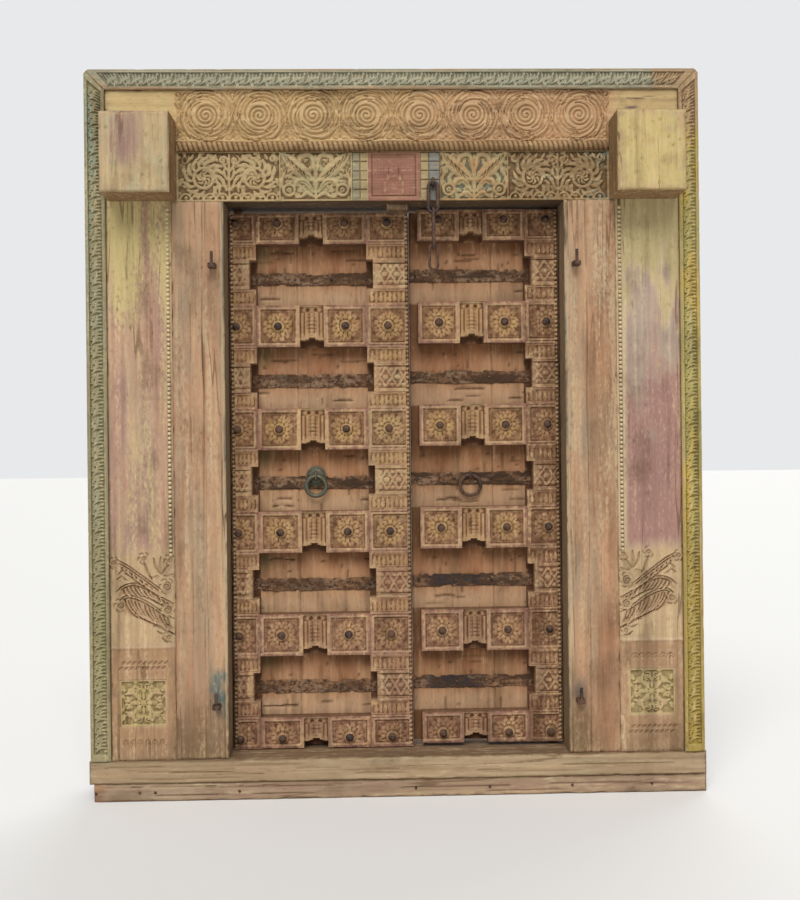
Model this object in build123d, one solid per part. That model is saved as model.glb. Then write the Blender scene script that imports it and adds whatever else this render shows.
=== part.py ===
from build123d import *
import math
import os

os.makedirs("parts", exist_ok=True)

# A carved double door in its frame. X runs to the right, Y to the back and Z up, in millimetres.
# The origin is the middle of the sill's underside.

# Doorway
doorway_width = 990.0
side_gap = 4.0
foot_gap = 3.0
head_gap = 8.0
right_leaf_lift = 8.0
meeting_offset = 44.0
meeting_gap = 3.0
leaf_setback = 86.0

# Leaves: six rails on planks, five fields between them
field_height = 183.0
rail_height = 124.0
end_rail_height = 92.0
middle_rail_count = 4
rail_depth = 44.0
plank_depth = 28.0
hinge_plank_width = 198.0
left_stile_width = 79.0
right_stile_width = 100.0
post_width = 126.0
bare_margin = 24.5
upright_notch_depth = 19.0
upright_notch_height = 84.0

# Carved squares and brackets of the rails
bracket_width = 72.0
bracket_setback = 9.0
bracket_notch = 19.0
bracket_leaf_width = 30.0
bracket_leaf_rise = 5.0
square_margin = 12.0
square_sink = 5.0
rosette_radius = 46.0
rosette_rise = 7.0
rosette_petals = 8
rosette_waist_share = 0.6
left_stile_stud_inset = 19.0
right_stile_stud_inset = 37.0

# Wooden pivots of the leaves
pivot_inset = 22.0
pin_radius = 13.0
pin_clearance = 0.4
pin_reach = 34.0
pin_end_gap = 0.4
socket_sides = 16

# Sills
lower_sill_height = 52.0
upper_sill_height = 66.0
sill_depth = 180.0
sill_proud = 6.0
sill_overhang = 5.0
sill_edge = 5.0
lower_sill_short = 12.0
lower_sill_setback = 3.0

# Uprights of the frame
jamb_width = 151.0
jamb_depth = 140.0
jamb_groove_width = 5.0
jamb_groove_depth = 3.0
jamb_groove_shares = (0.07, 0.4)
pilaster_width = 186.0
pilaster_depth = 92.0
bead_width = 20.0
bead_proud = 6.0
bead_foot = 587.0

# Borders round the outside
border_width = 58.0
border_depth = 66.0
border_proud = 10.0
border_margin = 10.0
border_sink = 6.0
corner_wear = 12.0
vine_period = 128.0
vine_width = 11.0
vine_clearance = 1.5

# Lintels, rope moulding and corner blocks
lower_lintel_height = 143.0
lower_lintel_depth = 174.0
rope_height = 28.0
rope_depth = 60.0
rope_proud = 14.0
rope_pitch = 28.0
rope_groove = 5.0
rope_slant = 9.0
upper_lintel_height = 150.0
upper_lintel_depth = 92.0
block_width = 194.0
block_height = 226.0
block_proud = 115.0
block_lap = 18.0
block_edge = 5.0
head_stop_width = 64.0
head_stop_offset = 10.0
head_stop_height = 18.0
head_stop_depth = 42.0
head_stop_gap = 0.6

# Carving of the frame
carving_margin = 8.0
carving_sink = 7.0
carving_seat = 2.0
cut_overrun = 1.0
roundel_count = 8
roundel_radius = 67.0
roundel_width = 10.0
roundel_turns = 2
roundel_steps = 12
blade_width = 15.0

# Iron straps, nails and studs
strap_height = 42.0
strap_depth = 4.0
strap_drop = 8.0
strap_nail_shares = (0.05, 0.36, 0.66, 0.95)
nail_radius = 5.0
nail_rise = 3.0
nail_sides = 4
stud_radius = 13.0
stud_rise = 10.0
stud_sides = 6
stud_top_share = 0.45
sill_nail_shares = (-0.98, -0.84, -0.79, -0.52, 0.05, 0.29, 0.56, 0.82)

# Pull rings, with their staples and the boss plate, each at a share of its strap's length
ring_sides = 10
link_sides = 6
iron_sides = 8
eye_gap = 0.6
staple_iron = 3.6
left_ring_radius = 36.0
left_ring_iron = 6.5
left_ring_share = 0.518
left_ring_rise = 20.0
right_ring_radius = 36.0
right_ring_iron = 5.2
right_ring_share = 0.49
right_ring_rise = 11.0
plate_radius = 31.0
plate_top_radius = 20.0
plate_rise = 9.0
plate_sides = 12

# Chain on the lintel
chain_offset = 113.0
chain_rise = 49.0
chain_standoff = 9.0
chain_staple_iron = 4.2
upper_link_length = 98.0
upper_link_width = 38.0
upper_link_iron = 5.6
middle_link_length = 125.0
middle_link_width = 42.0
middle_link_iron = 4.6
lower_link_length = 78.0
lower_link_width = 32.0
lower_link_iron = 4.2

# Pintles on the jambs
pintle_inset = 31.0
upper_pintle_drop = 184.0
lower_pintle_rise = 162.0
pintle_base_width = 22.0
pintle_base_height = 12.0
pintle_base_reach = 36.0
pintle_pin_radius = 4.5
pintle_pin_height = 34.0
pintle_pin_out = 28.0

# Places that follow from the sizes
sill_top = lower_sill_height + upper_sill_height
leaf_height = 2 * end_rail_height + middle_rail_count * rail_height + (middle_rail_count + 1) * field_height
doorway_height = foot_gap + right_leaf_lift + leaf_height + head_gap
soffit = sill_top + doorway_height
lower_lintel_top = soffit + lower_lintel_height
rope_top = lower_lintel_top + rope_height
upper_lintel_top = rope_top + upper_lintel_height
frame_top = upper_lintel_top + border_width
door_half = doorway_width / 2
jamb_out = door_half + jamb_width
pilaster_out = jamb_out + pilaster_width
border_out = pilaster_out + border_width
sill_half = border_out + sill_overhang
block_in = jamb_out - block_lap
front_y = sill_proud - sill_depth / 2
leaf_y = front_y + leaf_setback
plank_y = leaf_y + rail_depth
leaf_back = plank_y + plank_depth
leaf_out = door_half - side_gap
pivot_x = leaf_out - pivot_inset
pivot_y = leaf_back - pivot_inset
left_leaf_edge = meeting_offset - meeting_gap / 2
right_leaf_edge = meeting_offset + meeting_gap / 2
left_leaf_z = sill_top + foot_gap
right_leaf_z = left_leaf_z + right_leaf_lift
strap_y = plank_y - strap_depth
pin_foot = left_leaf_z - pin_reach
left_rails = (left_stile_width - leaf_out, left_leaf_edge - post_width)
right_rails = (right_leaf_edge + bare_margin, leaf_out - right_stile_width)
left_strap = (left_rails[0] - upright_notch_depth, left_rails[1] + upright_notch_depth)
right_strap = (right_leaf_edge, right_rails[1] + upright_notch_depth)


def save(name, shape):
    export_step(shape, f"parts/{name}.step")


def block(x_span, y_span, z_span):
    spans = (x_span, y_span, z_span)
    size = [high - low for low, high in spans]
    middle = [(low + high) / 2 for low, high in spans]
    return Pos(*middle) * Box(*size)


def prism(outline, y_from, y_to):
    # an outline of (x, z) points carried from one depth to another
    wire = Wire.make_polygon([(x, y_from, z) for x, z in outline])
    return Solid.extrude(Face(wire), Vector(0, y_to - y_from, 0))


def around(x, z, radius, sides, turn=0.0):
    angles = [turn + 2 * math.pi * step / sides for step in range(sides)]
    return [(x + radius * math.cos(angle), z + radius * math.sin(angle)) for angle in angles]


def dome(x, z, y_seat, radius, rise, sides, top_share):
    # a hammered head: a faceted frustum that stands off its seat towards the front
    seat = [(px, y_seat, pz) for px, pz in around(x, z, radius, sides)]
    top = [(px, y_seat - rise, pz) for px, pz in around(x, z, radius * top_share, sides)]
    rings = [seat, top] + [[seat[side - 1], seat[side], top[side], top[side - 1]] for side in range(sides)]
    return Solid(Shell([Face(Wire.make_polygon(ring)) for ring in rings]))


def rose_head(x, z, y_seat):
    # a forged nail's head, hammered to four facets
    seat = Wire.make_polygon([(px, y_seat, pz) for px, pz in around(x, z, nail_radius, nail_sides)])
    return Solid.make_loft([seat, Vertex(x, y_seat - nail_rise, z)], ruled=True)


def ridge(path, widths):
    # the outline of a strip that follows a path and changes its width on the way
    left = []
    right = []
    for place, (x, z) in enumerate(path):
        ahead = path[min(place + 1, len(path) - 1)]
        behind = path[max(place - 1, 0)]
        run = math.dist(ahead, behind)
        across = ((behind[1] - ahead[1]) / run, (ahead[0] - behind[0]) / run)
        half = widths[place] / 2
        left.append((x + across[0] * half, z + across[1] * half))
        right.append((x - across[0] * half, z - across[1] * half))
    return left + right[::-1]


def taper(width, count, ends_share=0.3):
    return [width * (ends_share + (1 - ends_share) * math.sin(math.pi * (step + 1) / (count + 1)))
            for step in range(count)]


def spiral(x, z, inner, outer, turns, steps, start, hand):
    path = []
    for step in range(steps + 1):
        share = step / steps
        angle = start + hand * 2 * math.pi * turns * share
        radius = inner + (outer - inner) * share
        path.append((x + radius * math.cos(angle), z + radius * math.sin(angle)))
    return path


def scroll(x, z, outer, width, turns, steps, start, hand, inner_share=0.16):
    path = spiral(x, z, outer * inner_share, outer - width / 2, turns, steps, start, hand)
    return ridge(path, [width] * (steps + 1))


def blade(x, z, length, width, angle):
    # a carved leaf: a lozenge that is widest before its middle
    widest_share = 0.4
    along = (math.cos(angle), math.sin(angle))
    belly = (x + along[0] * length * widest_share, z + along[1] * length * widest_share)
    return [(x, z),
            (belly[0] - along[1] * width / 2, belly[1] + along[0] * width / 2),
            (x + along[0] * length, z + along[1] * length),
            (belly[0] + along[1] * width / 2, belly[1] - along[0] * width / 2)]


def carve(board, y_face, pockets, motifs, sink):
    # pockets sink the ground behind the face, and the motifs stand on that ground, flush with the face
    cuts = [prism(outline, y_face - cut_overrun, y_face + sink) for outline in pockets]
    raised = [prism(outline, y_face + sink + carving_seat, y_face) for outline in motifs]
    sunk = board - cuts
    return sunk + raised if raised else sunk


def rectangle(x_low, x_high, z_low, z_high):
    return [(x_low, z_low), (x_high, z_low), (x_high, z_high), (x_low, z_high)]


def forged(points, iron, closed):
    # a bar of many-sided iron, flat to its sides, bent along a path with mitred corners
    start = Vector(*points[0])
    way = (Vector(*points[1]) - start).normalized()
    flat_turn = 180 / iron_sides
    section = Plane(origin=start, z_dir=way) * RegularPolygon(iron, iron_sides, False, rotation=flat_turn)
    path = Wire.make_polygon(points, close=closed)
    return Solid.sweep(section.face(), path, transition=Transition.RIGHT)


# Sills, with the sockets of the leaves' lower pins
def sockets(z_low, z_high):
    # chiselled to many flat sides, each clear of the round pin
    hole = RegularPolygon(pin_radius + pin_clearance, socket_sides, False)
    return [Pos(side * pivot_x, pivot_y, z_low) * extrude(hole, z_high - z_low) for side in (-1, 1)]


def sills():
    lower = block((lower_sill_short - sill_half, sill_half),
                  (lower_sill_setback - sill_depth / 2, sill_depth / 2), (0, lower_sill_height))
    upper = block((-sill_half, sill_half), (-sill_depth / 2, sill_depth / 2), (lower_sill_height, sill_top))
    worn = upper.edges().filter_by(Axis.X).group_by(Axis.Y)[0]
    upper = chamfer(worn, sill_edge)
    save("lower_sill", lower)
    save("upper_sill", upper - sockets(pin_foot - pin_end_gap, sill_top + cut_overrun))
    nail_z = lower_sill_height / 2
    face = lower_sill_setback - sill_depth / 2
    nails = [rose_head(share * sill_half, nail_z, face) for share in sill_nail_shares]
    save("sill_nails", Compound(nails))


# Jambs and pilasters
def jambs():
    for side, name in ((-1, "left"), (1, "right")):
        jamb = block(sorted((side * door_half, side * jamb_out)), (front_y, front_y + jamb_depth),
                     (sill_top, soffit))
        grooves = []
        for share in jamb_groove_shares:
            x = side * (door_half + jamb_width * share)
            grooves.append(block((x - jamb_groove_width / 2, x + jamb_groove_width / 2),
                                 (front_y - cut_overrun, front_y + jamb_groove_depth),
                                 (sill_top - cut_overrun, soffit + cut_overrun)))
        save(f"{name}_inner_jamb", jamb - grooves)


# Leafy spray of a pilaster, as shares of its width across and of the spray's height up
spray_low = 333.0
spray_height = 254.0
spray_blade_width = 17.0
plume_shares = (((0.97, 0.05), (0.72, 0.2), (0.5, 0.42), (0.3, 0.6), (0.14, 0.6)),
                ((0.97, 0.3), (0.76, 0.48), (0.5, 0.62), (0.26, 0.74), (0.08, 0.86)),
                ((0.9, 0.5), (0.66, 0.6), (0.44, 0.76), (0.24, 0.9), (0.06, 0.97)),
                ((0.94, 0.62), (0.8, 0.72), (0.66, 0.84), (0.56, 0.95), (0.5, 0.99)))
curl_shares = ((0.84, 0.36, 0.085), (0.84, 0.83, 0.085))
curl_width = 6.0
curl_turn_share = 0.8
curl_steps = 7
curl_inner_share = 0.4

# Square panel and tooth row low on a pilaster
panel_low = 98.0
panel_height = 135.0
panel_inset = 26.0
panel_petals = 8
panel_boss_radius = 11.0
panel_petal_width = 19.0
petal_root_share = 0.6
tooth_count = 7
tooth_fill_share = 0.9
left_tooth_low = 261.0
right_tooth_low = 53.0
tooth_height = 29.0
fillet_low = 322.0
fillet_height = 5.0
fillet_proud = 3.0


def spray(side):
    def place(across_share, up_share):
        return (side * (jamb_out + pilaster_width * (1 - across_share)),
                sill_top + spray_low + spray_height * up_share)

    motifs = []
    for shares in plume_shares:
        path = [place(*point) for point in shares]
        motifs.append(ridge(path, taper(spray_blade_width, len(path))))
    for across_share, up_share, radius_share in curl_shares:
        x, z = place(across_share, up_share)
        motifs.append(scroll(x, z, pilaster_width * radius_share, curl_width, curl_turn_share, curl_steps, 0,
                             side, curl_inner_share))
    return motifs


def petals(x, z, inner, outer, width, count):
    motifs = []
    for step in range(count):
        angle = 2 * math.pi * step / count
        motifs.append(blade(x + inner * math.cos(angle), z + inner * math.sin(angle),
                            outer - inner, width, angle))
    return motifs


def pilasters():
    for side, name, tooth_low in ((-1, "left", left_tooth_low), (1, "right", right_tooth_low)):
        board = block(sorted((side * jamb_out, side * pilaster_out)), (front_y, front_y + pilaster_depth),
                      (sill_top, rope_top))
        middle = side * (jamb_out + pilaster_out) / 2
        half = pilaster_width / 2 - panel_inset
        low = sill_top + panel_low
        pockets = [rectangle(middle - half, middle + half, low, low + panel_height)]
        centre = low + panel_height / 2
        motifs = petals(middle, centre, panel_boss_radius * petal_root_share, half - carving_margin,
                        panel_petal_width, panel_petals)
        motifs.append(around(middle, centre, panel_boss_radius, panel_petals))
        board = carve(board, front_y, pockets, motifs, carving_sink)
        # the spray is cut round: a sunk ground with the leaves left standing
        ground_low = sill_top + spray_low
        reach = pilaster_width / 2 - carving_margin
        ground = rectangle(middle - reach, middle + reach, ground_low, ground_low + spray_height)
        board = carve(board, front_y, [ground], spray(side), carving_sink)
        bead = [(jamb_out, front_y), (jamb_out + bead_width, front_y),
                (jamb_out + bead_width * 2 / 3, front_y - bead_proud),
                (jamb_out + bead_width / 3, front_y - bead_proud)]
        foot = Wire.make_polygon([(side * x, y, sill_top + bead_foot) for x, y in bead])
        strip = Solid.extrude(Face(foot), Vector(0, 0, soffit - sill_top - bead_foot))
        teeth = []
        pitch = 2 * half / tooth_count
        for step in range(tooth_count):
            x = middle - half + pitch * (step + 1 / 2)
            z = sill_top + tooth_low
            teeth.append(blade(x, z, tooth_height, pitch * tooth_fill_share, math.pi / 2))
        raised = [prism(outline, front_y + carving_seat, front_y - fillet_proud) for outline in teeth]
        band = block((middle - half, middle + half), (front_y - fillet_proud, front_y + carving_seat),
                     (sill_top + fillet_low, sill_top + fillet_low + fillet_height))
        save(f"{name}_pilaster", board + [strip, band] + raised)


# Borders, mitred at the upper corners, with a running vine in a sunk channel
def vine(start, length, flip):
    count = round(length / vine_period)
    step = length / count
    half = border_width / 2 - border_margin - vine_width / 2 - vine_clearance
    path = [(start, -half)]
    for turn in range(2 * count):
        path.append((start + step * (turn + 1) / 2, half if turn % 2 == 0 else -half))
    outline = ridge(path, [vine_width] * len(path))
    return [(v, u) for u, v in outline] if flip else outline


def borders():
    worn = corner_wear / 2
    y_face = front_y - border_proud
    y_back = y_face + border_depth
    middle = (pilaster_out + border_out) / 2
    half = border_width / 2 - border_margin
    channel = (sill_top + border_margin, upper_lintel_top - border_margin)
    outline = [(pilaster_out, sill_top), (border_out, sill_top), (border_out, frame_top - corner_wear),
               (border_out - worn, frame_top - worn), (pilaster_out, upper_lintel_top)]
    upright_vine = vine(channel[0] + border_margin, channel[1] - channel[0] - 2 * border_margin, True)
    upright_vine = [(x + middle, z) for x, z in upright_vine]
    pocket = rectangle(middle - half, middle + half, *channel)
    right = carve(prism(outline, y_face, y_back), y_face, [pocket], [upright_vine], border_sink)
    save("right_border", right)
    save("left_border", mirror(right, about=Plane.YZ))

    top_outline = [(-pilaster_out, upper_lintel_top), (pilaster_out, upper_lintel_top),
                   (border_out - worn, frame_top - worn), (border_out - corner_wear, frame_top),
                   (corner_wear - border_out, frame_top), (worn - border_out, frame_top - worn)]
    top_middle = (upper_lintel_top + frame_top) / 2
    reach = pilaster_out - border_margin
    top_vine = vine(border_margin - reach, 2 * reach - 2 * border_margin, False)
    top_vine = [(x, z + top_middle) for x, z in top_vine]
    pocket = rectangle(-reach, reach, top_middle - half, top_middle + half)
    save("top_border", carve(prism(top_outline, y_face, y_back), y_face, [pocket], [top_vine], border_sink))


# Upper lintel with a row of scroll roundels, and leaves between them
def upper_lintel():
    board = block((-pilaster_out, pilaster_out), (front_y, front_y + upper_lintel_depth),
                  (rope_top, upper_lintel_top))
    reach = block_in - carving_margin
    middle = (rope_top + upper_lintel_top) / 2
    ground = rectangle(-reach, reach, rope_top + carving_margin, upper_lintel_top - carving_margin / 2)
    pitch = 2 * reach / roundel_count
    tip = upper_lintel_height / 2 - 2 * carving_margin
    motifs = []
    for step in range(roundel_count):
        x = pitch * (step + 1 / 2) - reach
        hand = 1 if step % 2 else -1
        motifs.append(scroll(x, middle, roundel_radius, roundel_width, roundel_turns, roundel_steps,
                             -math.pi / 2, hand))
    for step in range(1, roundel_count):
        x = pitch * step - reach
        for side in (-1, 1):
            motifs.append(blade(x, middle + side * tip, tip / 2, 2 * blade_width, -side * math.pi / 2))
    save("upper_lintel", carve(board, front_y, [ground], motifs, carving_sink))


def rope_moulding():
    board = block((-jamb_out, jamb_out), (front_y, front_y + rope_depth), (lower_lintel_top, rope_top))
    count = math.ceil((2 * block_in + rope_slant) / rope_pitch)
    crest = front_y - rope_proud
    start = -block_in - rope_slant
    profile = [(start, front_y + carving_seat), (start, crest + rope_groove)]
    for step in range(count):
        x = start + rope_pitch * step
        profile.append((x + rope_pitch / 2, crest))
        profile.append((x + rope_pitch, crest + rope_groove))
    profile.append((start + rope_pitch * count, front_y + carving_seat))
    foot = Wire.make_polygon([(x, y, lower_lintel_top) for x, y in profile])
    twisted = Solid.extrude(Face(foot), Vector(rope_slant, 0, rope_height))
    between = block((-block_in, block_in), (crest - cut_overrun, front_y + carving_seat + cut_overrun),
                    (lower_lintel_top, rope_top))
    save("rope_moulding", board + (twisted & between))


# Lower lintel: panels of leaf scrolls and fans beside tile columns and a niche.
# Panel edges are shares of the carved half length.
scroll_panel_shares = ((-0.985, -0.53), (0.535, 0.985))
fan_panel_shares = ((-0.52, -0.2), (0.22, 0.525))
tile_panel_shares = ((-0.19, -0.124), (0.126, 0.21))
niche_panel_share = 0.115
tile_rows = 3
tile_joint = 3.0
tile_joint_depth = 2.5
scroll_centre_shares = (0.25, 0.75)
scroll_radius_share = 0.4
lintel_scroll_width = 9.0
lintel_scroll_turns = 1.5
lintel_scroll_steps = 10
leaf_share_places = ((0.5, 0.1, 90), (0.5, 0.9, 270), (0.06, 0.94, 315), (0.94, 0.94, 225))
leaf_length_share = 0.34
fan_angles = (30, 60, 90, 120, 150)
fan_length_share = 0.62
fan_boss_share = 0.12
niche_shares = ((-0.55, 0.1), (0.55, 0.1), (0.55, 0.55), (0.3, 0.8), (0, 0.92), (-0.3, 0.8), (-0.55, 0.55))
niche_inner_share = 0.6
niche_margin = 10.0


def lower_lintel():
    board = block((-jamb_out, jamb_out), (front_y, front_y + lower_lintel_depth), (soffit, lower_lintel_top))
    low = soffit + carving_margin
    high = lower_lintel_top - carving_margin / 2
    height = high - low
    pockets = []
    motifs = []
    for shares in scroll_panel_shares:
        left, right = (share * block_in for share in shares)
        pockets.append(rectangle(left, right, low, high))
        for hand, share in zip((-1, 1), scroll_centre_shares):
            x = left + (right - left) * share
            motifs.append(scroll(x, low + height / 2, height * scroll_radius_share, lintel_scroll_width,
                                 lintel_scroll_turns, lintel_scroll_steps, math.pi / 2, hand))
        for across_share, up_share, degrees in leaf_share_places:
            motifs.append(blade(left + (right - left) * across_share, low + height * up_share,
                                height * leaf_length_share, blade_width, math.radians(degrees)))
    for shares in fan_panel_shares:
        left, right = (share * block_in for share in shares)
        pockets.append(rectangle(left, right, low, high))
        boss = height * fan_boss_share
        root = ((left + right) / 2, low + carving_margin)
        for degrees in fan_angles:
            angle = math.radians(degrees)
            start = (root[0] + boss * math.cos(angle), root[1] + boss * math.sin(angle))
            motifs.append(blade(*start, height * fan_length_share, 2 * blade_width, angle))
        for x in (left + 2 * boss, right - 2 * boss):
            motifs.append(around(x, low + boss + carving_margin / 2, boss, stud_sides))
    niche = niche_panel_share * block_in
    pockets.append(rectangle(-niche, niche, low, high))
    board = carve(board, front_y, pockets, motifs, carving_sink)

    inside = niche - niche_margin
    arch = [(x * inside, low + niche_margin + z * (height - niche_margin)) for x, z in niche_shares]
    void = [(x * niche_inner_share, low + niche_margin + z * (height - niche_margin) * niche_inner_share)
            for x, z in ((share_x * inside, share_z) for share_x, share_z in niche_shares)]
    hood = prism(arch, front_y + carving_sink + carving_seat, front_y + carving_sink / 3)
    hood = hood - prism(void, front_y + carving_sink, front_y - cut_overrun)
    joints = []
    for shares in tile_panel_shares:
        left, right = (share * block_in for share in shares)
        depth = (front_y - cut_overrun, front_y + tile_joint_depth)
        for row in range(tile_rows + 1):
            z = low + (height - tile_joint) * row / tile_rows
            joints.append(block((left, right), depth, (z, z + tile_joint)))
    bores = sockets(soffit - cut_overrun, right_leaf_z + leaf_height + pin_reach + pin_end_gap)
    save("lower_lintel", board + hood - joints - bores)


def corner_blocks():
    for side, name in ((-1, "left"), (1, "right")):
        shape = block(sorted((side * block_in, side * (block_in + block_width))),
                      (front_y - block_proud, front_y), (soffit, soffit + block_height))
        worn = shape.faces().sort_by(Axis.Y)[0].edges()
        save(f"{name}_corner_block", chamfer(worn, block_edge))


def head_stop():
    x_span = (head_stop_offset - head_stop_width / 2, head_stop_offset + head_stop_width / 2)
    back = leaf_y - head_stop_gap
    save("head_stop", block(x_span, (back - head_stop_depth, back), (soffit - head_stop_height, soffit)))


# Iron pintles: a driven base with an upright pin
def pintles():
    solids = []
    for side in (-1, 1):
        for z in (soffit - upper_pintle_drop, sill_top + lower_pintle_rise):
            x = side * (door_half + pintle_inset)
            base = block((x - pintle_base_width / 2, x + pintle_base_width / 2),
                         (front_y - pintle_base_reach, front_y), (z - pintle_base_height, z))
            base = chamfer(base.faces().sort_by(Axis.Y)[0].edges().filter_by(Axis.Z), pintle_base_width / 4)
            seat = Plane((x, front_y - pintle_pin_out, z - pintle_base_height / 2))
            pin = Solid.make_cylinder(pintle_pin_radius, pintle_pin_height + pintle_base_height / 2, seat)
            solids.append((base + pin).solid())
    save("jamb_pintles", Compound(solids))


# Leaves
def rail_spans(foot):
    # the lower and upper edges of the six rails, from the bottom up
    spans = [(foot, foot + end_rail_height)]
    for step in range(middle_rail_count):
        low = spans[-1][1] + field_height
        spans.append((low, low + rail_height))
    low = spans[-1][1] + field_height
    spans.append((low, low + end_rail_height))
    return spans


def stud_heights(foot):
    # the end rails are cut short at the leaf's ends, so their studs sit off their middles
    spans = rail_spans(foot)
    heights = [(low + high) / 2 for low, high in spans]
    heights[0] = spans[0][1] - rail_height / 2
    heights[-1] = spans[-1][0] + rail_height / 2
    return heights


def field_middles(foot):
    spans = rail_spans(foot)
    return [(lower[1] + upper[0]) / 2 for lower, upper in zip(spans, spans[1:])]


def rosette(x, z, y_ground):
    # a flower of pointed petals that rises to its middle, under the stud
    outline = []
    for step in range(2 * rosette_petals):
        angle = math.pi * step / rosette_petals
        radius = rosette_radius * (rosette_waist_share if step % 2 else 1)
        outline.append((x + radius * math.cos(angle), y_ground, z + radius * math.sin(angle)))
    return Solid.make_loft([Wire.make_polygon(outline), Vertex(x, y_ground - rosette_rise, z)], ruled=True)


def carved_square(board, x_span, z_span, stud_x, stud_z, y_face):
    inner_x = (x_span[0] + square_margin, x_span[1] - square_margin)
    inner_z = (z_span[0] + square_margin, z_span[1] - square_margin)
    pocket = block(inner_x, (y_face - cut_overrun, y_face + square_sink), inner_z)
    room = block(inner_x, (y_face - rosette_rise, y_face + square_sink + cut_overrun), inner_z)
    flower = rosette(stud_x, stud_z, y_face + square_sink) & room
    return board - pocket + flower


def rail(x_span, z_span, stud_z):
    middle = (x_span[0] + x_span[1]) / 2
    bracket = (middle - bracket_width / 2, middle + bracket_width / 2)
    notch_z = z_span[0] + bracket_notch
    low, high = z_span
    outline = [(x_span[0], low), (bracket[0], low), (bracket[0], notch_z), (bracket[1], notch_z),
               (bracket[1], low), (x_span[1], low), (x_span[1], high), (x_span[0], high)]
    board = prism(outline, leaf_y + bracket_setback, plank_y)
    squares = ((x_span[0], bracket[0]), (bracket[1], x_span[1]))
    for square in squares:
        board = board + block(square, (leaf_y, leaf_y + bracket_setback), z_span)
    frond = blade(middle, notch_z, high - notch_z, bracket_leaf_width, math.pi / 2)
    board = board + prism(frond, leaf_y + bracket_setback + carving_seat,
                          leaf_y + bracket_setback - bracket_leaf_rise)
    studs = []
    for square in squares:
        stud_x = (square[0] + square[1]) / 2
        board = carved_square(board, square, z_span, stud_x, stud_z, leaf_y)
        studs.append((stud_x, stud_z))
    return board, studs


def upright(x_span, foot, notch_sides, stud_x):
    # a stile or post with a square at each rail and a notch beside each field
    board = block(x_span, (leaf_y, plank_y), (foot, foot + leaf_height))
    notches = []
    for z in field_middles(foot):
        for x in notch_sides:
            notches.append(block((x - upright_notch_depth, x + upright_notch_depth),
                                 (leaf_y - cut_overrun, plank_y + cut_overrun),
                                 (z - upright_notch_height / 2, z + upright_notch_height / 2)))
    board = board - notches
    studs = []
    for z_span, stud_z in zip(rail_spans(foot), stud_heights(foot)):
        board = carved_square(board, x_span, z_span, stud_x, stud_z, leaf_y)
        studs.append((stud_x, stud_z))
    return board, studs


def hinge_plank(side, foot):
    x_span = sorted((side * leaf_out, side * (leaf_out - hinge_plank_width)))
    z_span = (foot, foot + leaf_height)
    plank = block(x_span, (plank_y, leaf_back), z_span)
    # the hanging edge is rounded about the pivot so that it turns clear of the jamb
    back = plank.edges().filter_by(Axis.Z).group_by(Axis.Y)[-1]
    plank = fillet(back.sort_by(Axis.X)[-1 if side > 0 else 0], pivot_inset)
    # both leaves stand on the floors of their sockets, the right one on a longer pin
    pin_top = foot + leaf_height + pin_reach
    pin = Pos(side * pivot_x, pivot_y, (pin_foot + pin_top) / 2) * Cylinder(pin_radius, pin_top - pin_foot)
    return plank + (pin - block(x_span, (pivot_y - pin_radius, plank_y), z_span))


def strap(x_span, z):
    left, right = x_span
    nails = [rose_head(left + (right - left) * share, z, strap_y) for share in strap_nail_shares]
    return block(x_span, (strap_y, plank_y), (z - strap_height / 2, z + strap_height / 2)), nails


def leaf(name, side, foot, rails_x, uprights, strap_x, planks_x):
    save(f"{name}_hinge_plank", hinge_plank(side, foot))
    save(f"{name}_meeting_plank", block(planks_x, (plank_y, leaf_back), (foot, foot + leaf_height)))
    places = []
    for node, x_span, notch_sides, stud_x in uprights:
        board, studs = upright(x_span, foot, notch_sides, stud_x)
        save(node, board)
        places += studs
    for count, (z_span, stud_z) in enumerate(zip(rail_spans(foot), stud_heights(foot)), 1):
        board, studs = rail(rails_x, z_span, stud_z)
        save(f"{name}_rail_{count}", board)
        places += studs
    nails = []
    for count, z in enumerate(field_middles(foot), 1):
        band, band_nails = strap(strap_x, z - strap_drop)
        save(f"{name}_strap_{count}", band)
        nails += band_nails
    save(f"{name}_strap_nails", Compound(nails))
    # each stud is driven through the middle of its flower
    seat = leaf_y + square_sink - rosette_rise
    save(f"{name}_studs", Compound([dome(x, z, seat, stud_radius, stud_rise, stud_sides, stud_top_share)
                                    for x, z in places]))


def leaves():
    left_uprights = (("left_hinge_stile", (-leaf_out, left_rails[0]), (left_rails[0],),
                      left_stile_stud_inset - leaf_out),
                     ("meeting_post", (left_rails[1], left_leaf_edge), (left_rails[1],),
                      left_leaf_edge - post_width / 2))
    leaf("left", -1, left_leaf_z, left_rails, left_uprights, left_strap,
         (hinge_plank_width - leaf_out, left_leaf_edge))

    right_uprights = (("right_hinge_stile", (right_rails[1], leaf_out), (right_rails[1],),
                       leaf_out - right_stile_stud_inset),)
    leaf("right", 1, right_leaf_z, right_rails, right_uprights, right_strap,
         (right_leaf_edge, leaf_out - hinge_plank_width))


# Pull rings, each hung in the eye of a staple
def staple(x, y_seat, y_eye, z_eye, iron, held):
    # two legs, one above the other, joined by a bar in front of what hangs in the eye
    leg = held + eye_gap + iron
    front = y_eye - held - eye_gap - iron
    return forged([(x, y_seat, z_eye + leg), (x, front, z_eye + leg), (x, front, z_eye - leg),
                   (x, y_seat, z_eye - leg)], iron, False)


def pull_ring(x, y, z_pivot, radius, iron):
    middle = radius - iron
    turn = math.pi / ring_sides
    reach = middle / math.cos(turn)
    corners = around(x, z_pivot - middle, reach, ring_sides, turn + math.pi / 2)
    start = ((corners[0][0] + corners[-1][0]) / 2, (corners[0][1] + corners[-1][1]) / 2)
    return forged([(px, y, pz) for px, pz in [start] + corners], iron, True)


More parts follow.
